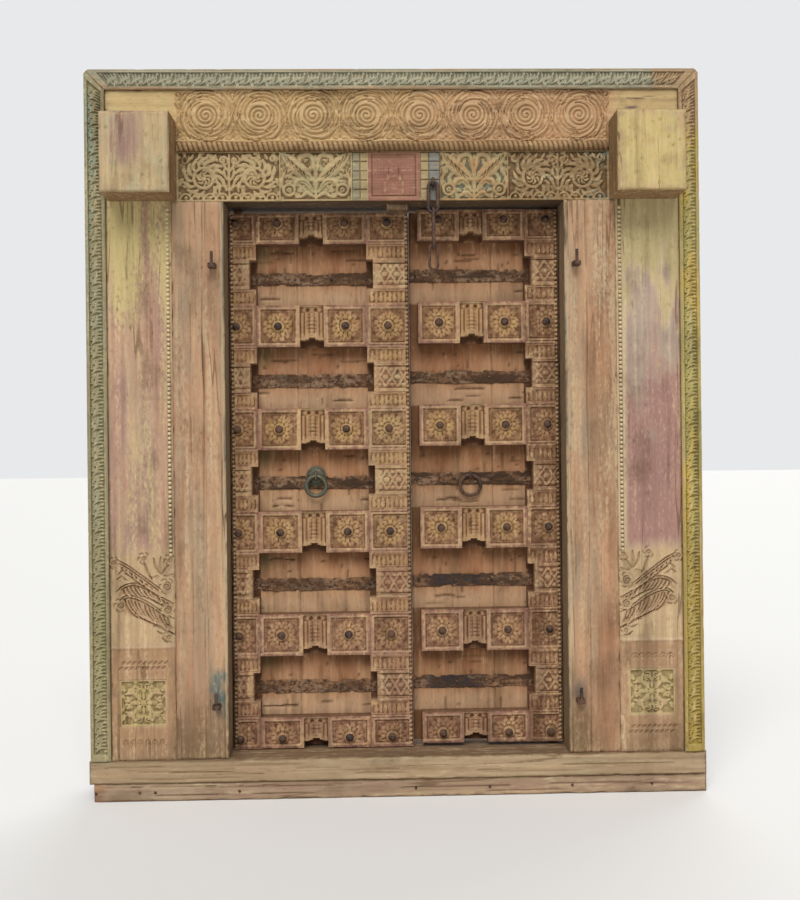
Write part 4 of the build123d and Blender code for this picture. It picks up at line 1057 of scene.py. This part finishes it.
def makeLowerLintel():
    look = lowerLintel
    cell = look["cell"]
    (_, (y0, y1), (z0, z1)), field = blankBoard("lower_lintel", cell, cell, look["buff"], look["sides"])
    foot, top = z0 + 5, z1 - 3
    for left, right in look["scrollPanels"]:
        scrollPanel(field, left, right, foot, top)
    for left, right in look["plantPanels"]:
        plantPanel(field, left, right, foot, top)

    def lattice(x, z):
        # the red panel: a plain lattice round a stepped niche
        mesh = np.minimum(np.abs((x / 8.5) % 1 - 0.5), np.abs((z / 8.5) % 1 - 0.5))
        relief = -3.0 + 1.2 * ease(0.08, 0.34, mesh)
        e = np.minimum(64 - np.abs(x), np.minimum(z - foot - 8, top - 6 - z))
        relief = np.where(e < 0, -1.0, relief) - 2.2 * bell(e, 1.8)
        u, v = np.abs(x), z - foot
        steps = np.where(v < 52, 32, np.where(v < 72, 24, np.where(v < 90, 14, 0)))
        n = steps - u
        relief = np.where((n > 0) & (v > 16), -1.4 - 1.6 * ease(8, 12, n) * (v < 60) + 0.3 * (relief + 2), relief)
        return relief - 1.5 * bell(n, 2.4) * (v > 14) * (v < 94)

    field.put((*look["redPanel"], foot - 2, top + 2), lattice)
    for left, right, _ in look["columns"]:
        for row in range(look["tiles"]):
            low, high = (foot + (top - foot) * step / look["tiles"] for step in (row, row + 1))
            tile = (left, right, low, high)
            field.put(tile, lambda x, z: -3.4 * (1 - ease(0.4, 2.4, inset(x, z, tile))))
    deep = ease(-3.0, -6.0, field.height)
    raised = ease(-3.4, -1.2, field.height)
    field.height -= 1.7 * field.specks(7, 149) * (np.abs(field.x) > 122)
    field.wear(1.6, 151, 1.2)

    # paint, richest on the right
    scrolls = np.abs(field.x) > 331
    plants = (np.abs(field.x - 5) > 130) & ~scrolls
    flecks = field.cloud(44, 34, 153)
    # painted shade on the deep ground of the panels; the right-hand scroll panel is darker all over
    field.tint(look["ground"], 0.3 * deep * scrolls + 0.24 * deep * plants + 0.42 * (field.x > 331))
    field.coat(look["teal"], (field.x > 330) * (0.1 + 0.9 * (flecks - 0.3) + 0.3 * ease(500, 625, field.x)))
    field.tint(look["brown"], (field.x > 137) * (0.2 + 0.5 * scrolls * raised))
    field.tint(look["green"], 0.6 * plants * ease(0.35, 0.65, field.cloud(30, 30, 155)))
    rich = np.where(field.x > 0, 0.5 + 0.9 * (flecks - 0.3), 0.6 * (flecks - 0.3))
    field.coat(look["orange"], plants * raised * rich)
    field.coat(look["teal"], plants * deep * np.where(field.x > 0, 0.9, 0.35))
    red = (*look["redPanel"], z0, z1)
    field.tint(look["red"], 1.0, red)
    field.coat(look["redDark"], lambda x, z: 0.2 + 0.9 * (cloudy(x, z, 40, 40, 159) - 0.3), red)
    field.tint(look["redDark"], lambda x, z: 0.75 * np.exp(-(x / 34) ** 2 - ((z - foot - 74) / 26) ** 2), red)
    for left, right, colour in look["columns"]:
        field.tint(look[colour], 0.9, (left, right, z0, z1))
    field.coat(look["ground"], 0.7 * (field.cloud(60, 24, 161) - 0.42))
    field.pit(-611, 1850, 12, 10)
    addPiece("lower_lintel_board", slab(field, y0, y1), "frame", lintelWood, ["lower_lintel"], 60)


# Corner blocks and the head stop
blocks = {"left": tone(204, 178, 134), "right": tone(214, 190, 128), "mauve": tone(158, 124, 114),
          "grey": tone(186, 174, 138), "sides": tone(150, 118, 80), "edge": tone(168, 132, 92)}


def makeBlocks():
    for side, name in bothSides:
        node = name + "_corner_block"
        ((x0, x1), (y0, y1), (z0, z1)), field = blankBoard(node, 4, 4, blocks[name], blocks["sides"])
        field.wear(4.6, 171 + side, 1.8)
        flecks = field.cloud(34, 90, 173 + side)
        rng = np.random.default_rng(175 + side)
        for _ in range(5):
            x, z = rng.uniform(x0 + 15, x1 - 15), rng.uniform(z0 + 20, z1 - 60)
            field.score([(x, z), (x + rng.uniform(-4, 4), z + rng.uniform(25, 70))], 6, 1.8)
        for _ in range(6):
            field.pit(rng.uniform(x0 + 15, x1 - 15), rng.uniform(z0 + 15, z1 - 15), 5, 3)
        if side < 0:
            spot = bell(field.x + 745, 48) * ease(1760, 1860, field.z)
            field.tint(blocks["mauve"], 0.6 * spot)
            field.coat(blocks["mauve"], 0.75 * spot + 0.6 * (flecks - 0.35))
            field.tint(blocks["grey"], 0.8 * ease(0.4, 0.7, field.cloud(30, 70, 177)))
        else:
            field.coat(blocks["grey"], 0.25 + 0.9 * (flecks - 0.4))
            field.tint(blocks["edge"], 0.4 * ease(0.45, 0.75, field.cloud(40, 60, 179)))
        field.coat(blocks["edge"], 0.6 * (1 - ease(1, 9, field.edges())))
        addPiece(node + "_board", slab(field, y0, y1), "frame", pilasterWood, [node])
    box, field = blankBoard("head_stop", 4, 3, jambs["sides"], jambs["dark"])
    field.wear(2.0, 183, 0.6)
    addPiece("head_stop_board", slab(field, *box[1]), "frame", jambWood, ["head_stop"])


makeSills()
makeJambs()
makePilasters()
makeBorders()
makeUpperLintel()
makeRope()
makeLowerLintel()
makeBlocks()
print("frame dressed")


# Leaves: carved squares, brackets and uprights
leafLook = {"base": tone(172, 129, 96), "ochre": tone(196, 158, 98), "mauve": tone(150, 106, 94),
            "rust": tone(142, 92, 60), "pale": tone(200, 172, 126), "dark": tone(126, 88, 62),
            "sides": tone(122, 88, 64), "cell": 2.9, "face": 2.0, "back": 46.0, "handledZ": 980, "handled": 200}
leafSizes = {"height": 1595, "endRail": 92, "rail": 124, "gap": 183, "stud": 62, "bracket": 36, "notch": 19,
             "waist": 42, "notchFloor": -43.4, "foot": {"left": 121, "right": 129}}
railPitch = leafSizes["rail"] + leafSizes["gap"]


def flower(x, z, seed):
    # two rings of grooved petals in a collar round the stud
    r, a = np.hypot(x, z) * (0.9 + 0.2 * speckle(x, z, 18, seed)), np.arctan2(z, x)
    rise = 0.8 * arch(r - 14.5, 3.4)
    for count, turn, place, reach, half, top in ((12, 0.5, 37, 7, 9, 0.7), (12, 0.0, 26, 8.5, 6.2, 1.0)):
        sector = 2 * np.pi / count
        lean = (a / sector + turn + 0.5) % 1 * sector - sector / 2
        along, across = r * np.cos(lean) - place, r * np.sin(lean)
        petal = np.sqrt(np.clip(1 - (along / reach) ** 2 - (across / half) ** 2, 0, 1))
        rise = np.maximum(rise, top * petal * (1 - 0.5 * bell(across, 1.8)))
    return np.maximum(rise, 1.0 * (r < 12))


def carvedSquare(field, box, cx, cz, seed):
    # a framed square with a flower round the stud and a leaf in each corner
    part = field.window(*box)
    x, z = field.x[part], field.z[part]
    e = inset(x, z, box)
    core = ease(12, 14.5, e)
    petals = flower(x - cx, z - cz, seed)
    worn = 0.5 + 0.6 * speckle(x, z, 22, seed + 11)
    relief = -2.2 * bell(e - 4.6, 1.5) - 5.0 * ease(10.5, 13.5, e) + 0.8 * bell(e - 8, 1.6)
    relief += core * 2.6 * np.abs(np.sin(np.pi * (x + z) / 8)) * bell(e - 17, 2.4)
    relief += core * 5.0 * worn * petals
    for sx in (-1, 1):
        for sz in (-1, 1):
            u, v = x - cx - sx * 38, z - cz - sz * 38
            relief += core * 4.4 * worn * dome(u, v, 13) * (0.5 + 0.5 * np.cos((u * sz - v * sx) * 0.8))
    field.height[part] = np.minimum(relief, 0) - 2.0 * speckle(x, z, 8, seed)

    def patches(size, shift):
        return cloudy(x, z, size, size, seed + shift)

    inner = 1 - 0.6 * ease(24, 44, np.hypot(x - cx, z - cz))
    # patches of paint; the dark on the sunk ground between the petals is partly painted shade, and the pale on the
    # petal tops and along the frame's ridge is painted highlight
    for colour, mask in (("mauve", 0.8 * (1 - ease(9, 12, e)) * (0.4 + patches(30, 0))),
                         ("ochre", ease(11, 14, e) * (0.3 + patches(18, 3)) * inner),
                         ("dark", 0.9 * core * patches(22, 5) * (1 - np.clip(1.6 * petals, 0, 1))),
                         ("pale", core * (patches(16, 8) - 0.15) * ease(0.6, 0.95, petals)),
                         ("pale", 0.9 * bell(e - 9, 2.2) * ease(0.3, 0.6, patches(20, 15))),
                         ("rust", 1.2 * core * (patches(15, 13) - 0.42))):
        field.tint(leafLook[colour], mask, part=part)


def bracket(field, middle, half, foot, top, notch, seed):
    # a narrow panel between the squares: two columns, a string of buds, two eyes, and a stepped notch
    box = (middle - half, middle + half, foot, top)

    def maker(x, z):
        u = np.abs(x - middle)
        relief = np.full_like(x, -9.0)
        relief += 4.4 * arch(u - 29, 5)
        relief += 2.4 * arch(u - 17, 4)
        wave = np.abs(np.sin(np.pi * (z - foot) / 11))
        relief += 5.2 * arch(u, 5.5) * wave ** 0.6
        relief += 1.8 * arch(u - 10.5, 3.4) * wave
        band = top - z
        relief = np.where(band < 22, -6.2 - 1.8 * bell(band - 20, 1.6), relief)
        relief -= 6.0 * dome(u - 12, band - 14, 6)
        relief = np.where(band < 4, -3.0, relief) - 0.9 * speckle(x, z, 11, seed)
        deep = (z - foot < notch) | ((z - foot < notch + 9) & (u < 9)) | ((z - foot < notch + 4) & (u < 17))
        return np.where(deep, leafSizes["notchFloor"], relief)

    field.put(box, maker)
    field.tint(leafLook["ochre"], lambda x, z: 0.6 * (np.abs(x - middle) < 34) * cloudy(x, z, 24, 40, seed), box)
    field.tint(leafLook["pale"], lambda x, z: 0.7 * (top - z < 7), box)
    # painted shade over the floor of the deep notch
    field.tint(leafLook["dark"], lambda x, z: 0.9 * (z - foot < notch + 2), box)


def beadRow(field, x, low, high):
    # a string of beads along an edge; gives its box, and a function for where the beads are
    def bead(u, v):
        return np.sqrt(np.clip(1 - ((u - x) / 4.6) ** 2 - (((v - low) % 13 - 6.5) / 5.2) ** 2, 0, 1))

    box = (x - 5, x + 5, low, high)
    field.add(box, lambda u, v: -4.0 + 4.6 * bead(u, v))
    return box, bead


def leafRow(field, box, seed):
    # a framed row of little upright leaves
    left, right, foot, top = box

    def maker(x, z):
        e = inset(x, z, box)
        relief = -2.4 * bell(e - 4, 1.5) - 3.4 * ease(6, 8.5, e)
        count = max(3, round((right - left - 18) / 13.5))
        pitch = (right - left - 18) / count
        u = (x - left - 9) % pitch - pitch / 2
        v = (z - foot - 8) / (top - foot - 16)
        half = pitch * 0.46 * np.clip(np.sin(np.pi * np.clip(v, 0, 1) ** 0.6), 0.02, 1)
        leaflet = arch(u, half) * (1 - 0.5 * bell(u, 1.5))
        worn = 0.4 + 0.7 * speckle(x, z, 20, seed + 5)
        return relief + 4.2 * worn * leaflet * ease(6.5, 9, e) - 1.6 * speckle(x, z, 8, seed)

    field.put(box, maker)
    field.tint(leafLook["ochre"], lambda x, z: 0.75 * cloudy(x, z, 40, 40, seed + 2), box)
    field.tint(leafLook["mauve"], lambda x, z: 0.6 * (1 - ease(4, 7, inset(x, z, box))), box)


def waist(field, box, seed):
    # the narrow stretch beside a field: crossing strokes between bars
    left, right, foot, top = box
    count = max(2, round((right - left) / 34))
    pitch = (right - left) / count

    def maker(x, z):
        e = np.minimum(z - foot, top - z)
        relief = -2.6 - 2.2 * bell(e - 9, 1.6) + 2.6 * (e < 8) - 2.0 * bell(e - 3.5, 1.4)
        u = ((x - left) / pitch) % 1 - 0.5
        tall = top - foot - 24
        v = (z - (foot + top) / 2) / tall
        cross = np.minimum(np.abs(u - v), np.abs(u + v)) * pitch
        core = ease(10, 12, e)
        relief += core * 3.6 * arch(cross, 4.6)
        buds = dome(u * pitch, (np.abs(v) - 0.36) * tall, 7) + dome((np.abs(u) - 0.42) * pitch, v * tall, 7)
        relief += core * 3.4 * buds
        bar = bell(np.abs(v) * tall - 17, 1.6)
        return np.minimum(relief - 2.0 * bar * core, 0) - 1.8 * speckle(x, z, 8, seed)

    field.put(box, maker)
    field.tint(leafLook["pale"], lambda x, z: 0.9 * ease(0.35, 0.65, cloudy(x, z, 40, 40, seed + 3)), box)


def finishLeaf(field, seed):
    # worn arrises and patches, brown and mauve paint, and a painted shadow of the lintel over the head
    reach, notched = 2 + 6 * field.specks(30, seed) ** 2, -20
    field.height -= 2.4 * (1 - ease(0, reach, field.edges())) * (field.height > notched)
    field.height -= 1.6 * ease(0.6, 0.85, field.cloud(46, 46, seed + 9)) * (field.height > notched)
    field.coat(leafLook["base"], 0.3 + 0.9 * (field.cloud(60, 60, seed + 4) - 0.4))
    low = 1 - ease(350, 900, field.z + 300 * (field.cloud(50, 90, 77) - 0.5))
    field.tint(leafLook["mauve"], 0.4 * low)
    # painted shadow where the lintel's shadow falls on the top of the leaf
    field.tint(leafLook["dark"], 0.8 * ease(1590, 1716, field.z))


def studLevel(row, low, high):
    # the studs of the lowest and highest rails stand off their inner edges
    return high - leafSizes["stud"] if row == 0 else low + leafSizes["stud"] if row == 5 else (low + high) / 2


def makeRail(leaf, number):
    node = f"{leaf}_rail_{number}"
    cell = leafLook["cell"]
    ((x0, x1), _, (z0, z1)), field = blankBoard(node, cell, cell, leafLook["base"], leafLook["sides"])
    middle, half = (x0 + x1) / 2, leafSizes["bracket"]
    seed = 300 + 20 * number + (7 if leaf == "right" else 0)
    for k, (left, right) in enumerate(((x0, middle - half), (middle + half, x1))):
        carvedSquare(field, (left, right, z0, z1), (left + right) / 2, studLevel(number - 1, z0, z1), seed + k)
    bracket(field, middle, half, z0, z1, leafSizes["notch"], seed)
    finishLeaf(field, seed)
    addPiece(node + "_board", slab(field, leafLook["face"], leafLook["back"]), leaf + "_leaf", leafWood, [node],
             55)


def makeUpright(node, leaf, studX, notchSide, beadSide):
    cell, sizes, foot = leafLook["cell"], leafSizes, leafSizes["foot"][leaf]
    ((x0, x1), _, (z0, z1)), field = blankBoard(node, cell, cell, leafLook["base"], leafLook["sides"])
    rails = [(foot, foot + sizes["endRail"])]
    for k in range(4):
        low = foot + sizes["endRail"] + sizes["gap"] + railPitch * k
        rails.append((low, low + sizes["rail"]))
    rails.append((foot + sizes["height"] - sizes["endRail"], foot + sizes["height"]))
    seed = sum(map(ord, node))
    for k, (low, high) in enumerate(rails):
        carvedSquare(field, (x0, x1, low, high), studX, studLevel(k, low, high), seed + k)
    left = x0 + (sizes["notch"] if notchSide < 0 else 0)
    right = x1 - (sizes["notch"] if notchSide > 0 else 0)
    for k, ((_, low), (high, _)) in enumerate(zip(rails, rails[1:])):
        centre = (low + high) / 2
        narrow = (centre - sizes["waist"], centre + sizes["waist"])
        leafRow(field, (x0, x1, low, narrow[0]), seed + 20 + k)
        leafRow(field, (x0, x1, narrow[1], high), seed + 30 + k)
        waist(field, (left, right, *narrow), seed + 40 + k)
        deep = (x0 - 1, left, *narrow) if notchSide < 0 else (right, x1 + 1, *narrow)
        field.put(deep, lambda x, z: np.full_like(x, sizes["notchFloor"]))
        # painted shade over the floor of the deep notch beside the waist
        field.tint(leafLook["dark"], 0.9, deep)
    box, bead = beadRow(field, x0 + 6 if beadSide < 0 else x1 - 6, z0 + 4, z1 - 4)
    finishLeaf(field, seed)
    clear = 0.3 if node == "meeting_post" else 0.6
    if node == "meeting_post":
        rubbed = 0.7 * bell(field.z - leafLook["handledZ"], leafLook["handled"])
        field.tint(leafLook["pale"], rubbed * field.cloud(60, 80, seed))
    else:
        field.tint(leafLook["dark"], 0.3 if leaf == "left" else 0.7)
    # painted shade over the string of beads, and a painted highlight on each bead's top
    field.tint(leafLook["dark"], clear, box)
    field.tint(leafLook["pale"], lambda x, z: 1.3 * clear * ease(0.3, 0.7, bead(x, z)), box)
    addPiece(node + "_board", slab(field, leafLook["face"], leafLook["back"]), leaf + "_leaf", leafWood, [node],
             55)


# Planks behind the rails, with their wooden pivot pins
planks = {"board": tone(186, 142, 104), "red": tone(172, 116, 82), "pale": tone(204, 168, 132),
          "green": tone(104, 102, 64), "dark": tone(114, 71, 38), "sides": tone(148, 108, 76),
          "face": 46.0, "back": 74.0, "pinY": 52.0, "pinRadius": 13.0}


def makePlank(node, leaf, pinX, lip):
    (x0, x1), _, (z0, z1) = spans(node)
    look, gap, foot = planks, leafSizes["gap"], leafSizes["foot"][leaf]
    top = foot + leafSizes["height"]
    lows = [foot + leafSizes["endRail"] + railPitch * k for k in range(5)]
    # fine lines only where the board shows between the rails
    shown = [np.linspace(low - 10, low + gap + 10, 36) for low in lows]
    stops = np.unique(np.concatenate([gridLines(foot, top, 40), *shown]))
    stops = stops[np.append(True, np.diff(stops) > 1)]
    field = Carving(gridLines(x0, x1, 6), stops, look["board"], look["sides"])
    seed = sum(map(ord, node))
    field.height = -1.6 * field.cloud(60, 120, seed)
    field.height -= 2.0 * (1 - ease(0, 4, np.minimum(field.x - x0, x1 - field.x)))
    rng = np.random.default_rng(seed)
    step = (field.z - foot - leafSizes["endRail"]) % railPitch
    for low in lows:
        for _ in range(3):
            x, z = rng.uniform(x0 + 20, x1 - 60), low + rng.choice([rng.uniform(8, 50), rng.uniform(130, 170)])
            cut = [(x, z), (x + rng.uniform(20, 40), z + rng.uniform(-4, 6)), (x + rng.uniform(50, 90), z)]
            field.score(bend(cut, 8), rng.uniform(5, 9), rng.uniform(1.5, 4.5))
        for _ in range(3):
            x, z = rng.uniform(x0 + 15, x1 - 15), low + rng.uniform(20, 165)
            field.score([(x, z), (x + rng.uniform(-3, 3), z - rng.uniform(25, 70))], 5.5, 2.0)
            field.pit(rng.uniform(x0 + 15, x1 - 15), low + rng.uniform(110, 165), 5, 4)
    flecks = field.cloud(34, 150, seed + 3)
    field.tint(look["red"], 1.4 * (flecks - 0.4) + 0.4 * ease(70, 150, step) * (step < gap))
    # painted light at the foot of each field, above the rail below
    field.tint(look["pale"], 0.8 * (1 - ease(20, 75, step)) * (0.4 + flecks))
    # painted shadow, with some brown stain, at the head of each field under the rail above
    field.tint(look["dark"], 0.8 * ease(112, 186, step + 40 * (flecks - 0.5)))
    field.coat(look["dark"], 0.25 + 0.6 * (flecks - 0.5) + 0.35 * bell(step - 88, 26))
    corner = bell(field.x + 395, 26) * bell(step - 160, 40)
    field.tint(look["green"], 0.55 * corner * (leaf == "left"))
    if leaf == "right":
        field.tint(look["dark"], 0.16)

    def edged(points):
        # the edge that meets the other leaf leans out at the back
        atEdge = (np.abs(points[:, 0] - x1) < 3) & (points[:, 1] > look["back"] - 4)
        points[:, 0] += np.where(atEdge, lip, 0)
        return points

    parts = [slab(field, look["face"], look["back"], edged)]
    if pinX:
        for low, high in ((z0, foot + 2), (top - 2, z1)):
            pin = [(pinX, look["pinY"], low), (pinX, look["pinY"], high)]
            parts.append(tube(pin, look["pinRadius"], False, 20, 0.0, 0, look["sides"]))
    addPiece(node + "_board", joined(*parts), leaf + "_leaf", plankWood, [node])


for number in range(1, 7):
    makeRail("left", number)
    makeRail("right", number)
makeUpright("left_hinge_stile", "left", -472, 1, -1)
makeUpright("meeting_post", "left", -20.5, -1, 1)
makeUpright("right_hinge_stile", "right", 454, -1, 1)
makePlank("left_hinge_plank", "left", -469.0, 0)
makePlank("left_meeting_plank", "left", None, 2.8)
makePlank("right_hinge_plank", "right", 469.0, 0)
makePlank("right_meeting_plank", "right", None, 0)
print("leaves carved")


# Iron straps, with edges eaten by rust; the lower ones are brown with dust
straps = {"dark": tone(100, 74, 54), "dust": tone(132, 98, 72), "ash": tone(132, 106, 84), "black": tone(58, 44, 34),
          "blue": tone(50, 47, 48)}


def makeStrap(leaf, number):
    node = f"{leaf}_strap_{number}"
    share = (number - 1) / 4
    colour = np.array(straps["dust"]) * (1 - share) + np.array(straps["dark"]) * share
    ((x0, x1), (y0, y1), (z0, z1)), field = blankBoard(node, 4, 4, colour, straps["dark"])
    seed = 500 + number * 7 + len(leaf)
    field.height = -1.6 * field.specks(13, seed) - 1.2 * field.specks(6, seed + 1)
    field.height -= 1.2 * (1 - ease(0, 3, field.edges()))
    field.tint(straps["ash"], ease(0.42, 0.62, field.cloud(34, 20, seed + 6)))
    burnt = 0.95 if number == 3 else 0.85 if leaf == "right" else 0.5
    field.tint(straps["black"], ease(0.4, 0.6, field.cloud(80, 26, seed + 8)) * burnt)
    if leaf == "right" and number < 3:
        run = (field.x - x0) / (x1 - x0)
        field.tint(straps["blue"], 0.95 * ease(0.06, 0.18, run) * (1 - ease(0.5, 0.68, run))
                   * ease(0.25, 0.42, field.cloud(60, 26, seed + 9)))
    middle = (z0 + z1) / 2

    def eaten(points):
        x, z = points[:, 0], points[:, 2] - middle
        shares = []
        for turn in (0, 50):
            line = 0.72 + 0.2 * speckle(x, x * 0 + turn, 90, seed + 2) + 0.16 * speckle(x, x * 0 + turn, 9, seed + 3)
            line -= 0.24 * ease(0.74, 0.82, speckle(x, x * 0 + turn, 20, seed + 4))
            shares.append(np.clip(line, 0.3, 1))
        points[:, 2] = middle + np.where(z > 0, z * shares[0], z * shares[1])
        return points

    addPiece(node + "_iron", slab(field, y0, y1, eaten, True), leaf + "_leaf", strapIron, [node], 70)


# Heads and forged bars: a profile is (radius, height) from the seat out
iron = {"stud": [(13.0, 0.0), (13.0, 1.2), (12.2, 3.8), (10.4, 6.6), (7.4, 8.8), (3.6, 9.9)],
        "nail": [(5.0, 0.0), (4.8, 0.9), (3.8, 2.1), (1.9, 2.9)],
        "plate": [(31, 0), (31, 1.4), (29.5, 2.4), (27, 2.2), (25.5, 3.6), (22.5, 6.6), (20, 8.2), (16, 9.0), (6, 9.0)],
        "ringRadius": 36.0, "ringSteps": 48, "headRoom": 30, "cornerRun": 5, "cornerIn": 1.4}


def centres(node, seatY):
    # the middles of a node's separate heads, from their lowest rings
    points = np.array([v.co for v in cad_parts[node].data.vertices]) / mm
    groups = []
    for x, _, z in points[np.abs(points[:, 1] - seatY) < 0.05]:
        for group in groups:
            if math.hypot(x - group[0][0], z - group[0][1]) < iron["headRoom"]:
                group.append((x, z))
                break
        else:
            groups.append([(x, z)])
    groups = [np.array(group) for group in groups]
    return [(group.max(0) + group.min(0)) / 2 for group in groups]


def makeHeads(node, body, profile, sides, lumps):
    seatY = spans(node)[1][1]
    heads = [turned(profile, sides, (x, seatY, z), lumps=lumps, seed=600 + k)
             for k, (x, z) in enumerate(centres(node, seatY))]
    addPiece(node + "_heads", joined(*heads), body, wroughtIron, [node], 50)


for leaf in ("left", "right"):
    for number in range(1, 6):
        makeStrap(leaf, number)
    makeHeads(leaf + "_studs", leaf + "_leaf", iron["stud"], 14, 0.16)
    makeHeads(leaf + "_strap_nails", leaf + "_leaf", iron["nail"], 8, 0.3)
makeHeads("sill_nails", "frame", iron["nail"], 8, 0.3)


def makeRing(node, radius, material):
    (x0, x1), (y0, y1), (_, z1) = spans(node)
    steps, outer = iron["ringSteps"], iron["ringRadius"]
    angle = np.arange(steps) * 2 * np.pi / steps
    path = np.column_stack([(x0 + x1) / 2 + (outer - radius) * np.cos(angle), np.full(steps, (y0 + y1) / 2),
                            z1 - outer + (outer - radius) * np.sin(angle)])
    addPiece(node + "_bar", tube(path, radius, True, 14, 0.07, 9), node, material, [node])


def makeLink(node, body, radius, crosswise):
    (x0, x1), (y0, y1), (z0, z1) = spans(node)
    turn = ((y1 - y0) if crosswise else (x1 - x0)) / 2 - radius
    straight = (z1 - z0) / 2 - radius - turn
    angle = np.linspace(0, np.pi, 17)
    half = np.column_stack([turn * np.cos(angle), straight + turn * np.sin(angle)])
    loop = np.vstack([half, -half])
    still = np.zeros(len(loop))
    path = np.column_stack([still, loop] if crosswise else [loop[:, 0], still, loop[:, 1]])
    path += np.array([(x0 + x1) / 2, (y0 + y1) / 2, (z0 + z1) / 2])
    addPiece(node + "_bar", tube(path, radius, True, 12, 0.08, 19), body, wroughtIron, [node])


def makeStaple(node, body, radius, material):
    (x0, x1), (y0, y1), (z0, z1) = spans(node)
    top, low, front = z1 - radius, z0 + radius, y0 + radius
    run, near = iron["cornerRun"], iron["cornerIn"]
    path = [(y1, top), (front + run, top), (front + near, top - near), (front, top - run), (front, low + run),
            (front + near, low + near), (front + run, low), (y1, low)]
    bar = tube([((x0 + x1) / 2, y, z) for y, z in path], radius, False, 12, 0.06, 29)
    addPiece(node + "_bar", bar, body, material, [node])


makeRing("left_ring", 6.5, ringBronze)
makeRing("right_ring", 5.2, wroughtIron)
makeLink("chain_link_upper", "chain_upper", 5.6, False)
makeLink("chain_link_middle", "chain_middle", 4.6, True)
makeLink("chain_link_lower", "chain_lower", 4.2, False)
makeStaple("chain_staple", "frame", 4.2, wroughtIron)
makeStaple("left_ring_staple", "left_leaf", 3.6, ringBronze)
makeStaple("right_ring_staple", "right_leaf", 3.6, wroughtIron)
plateX, plateY, plateZ = spans("left_ring_plate")
plate = turned(iron["plate"], 32, (sum(plateX) / 2, plateY[1], sum(plateZ) / 2), lumps=0.03)
addPiece("left_ring_boss", plate, "left_leaf", ringBronze, ["left_ring_plate"], 40)
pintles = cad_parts["jamb_pintles"]
pintles.data.materials.clear()
pintles.data.materials.append(wroughtIron)
print("iron forged")


# Floor, light and camera
stage = {"floor": tone(226, 225, 222), "floorSize": 60, "sky": tone(232, 233, 235), "ambient": 0.42,
         "lamps": (("key", 2.6, 40.0, (-0.1, -0.74, 0.86)), ("fill", 1.3, 60.0, (0.35, 0.85, 0.5)))}


def makeStage():
    bpy.ops.mesh.primitive_plane_add(size=stage["floorSize"], location=(0, 10, 0))
    floor = bpy.context.object
    floor.name = "floor"
    material, _, shader = newMaterial("floorPaint")
    shader.inputs["Base Color"].default_value = stage["floor"]
    shader.inputs["Roughness"].default_value = 0.85
    floor.data.materials.append(material)
    floor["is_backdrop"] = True
    world = bpy.data.worlds.new("studio")
    scene.world = world
    world.use_nodes = True
    flow = Flow(world.node_tree)
    seen = flow.node("ShaderNodeLightPath", out="Is Camera Ray") + flow.node("ShaderNodeLightPath", out="Is Glossy Ray")
    background = world.node_tree.nodes["Background"]
    background.inputs["Color"].default_value = stage["sky"]
    (stage["ambient"] + seen * (1 - stage["ambient"])).into(background, "Strength")
    for name, energy, spread, way in stage["lamps"]:
        data = bpy.data.lights.new(name, "SUN")
        data.energy, data.angle = energy, math.radians(spread)
        lamp = bpy.data.objects.new(name, data)
        scene.collection.objects.link(lamp)
        lamp.rotation_euler = (-Vector(way)).to_track_quat("-Z", "Y").to_euler()


cameraLook = {"spot": (-0.065, -3.0866, 1.0066), "turn": 1.418, "roll": 0.628, "lens": 41.38,
              "sensor": 36.0}


def makeCamera():
    data = bpy.data.cameras.new("view")
    data.lens, data.sensor_width = cameraLook["lens"], cameraLook["sensor"]
    camera = bpy.data.objects.new("view", data)
    scene.collection.objects.link(camera)
    turn, roll = math.radians(cameraLook["turn"]), math.radians(cameraLook["roll"])
    ahead = Vector((math.sin(turn), math.cos(turn), 0))
    right, up = Vector((math.cos(turn), -math.sin(turn), 0)), Vector((0, 0, 1))
    across = math.cos(roll) * right - math.sin(roll) * up
    above = math.sin(roll) * right + math.cos(roll) * up
    columns = (across, above, -ahead, Vector(cameraLook["spot"]))
    camera.matrix_world = Matrix([[column[k] for column in columns] for k in range(3)] + [[0, 0, 0, 1]])
    scene.camera = camera


makeStage()
makeCamera()
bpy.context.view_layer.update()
total = sum(len(p.vertices) - 2 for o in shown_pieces() for p in o.data.polygons)
print("triangles added, about:", total)
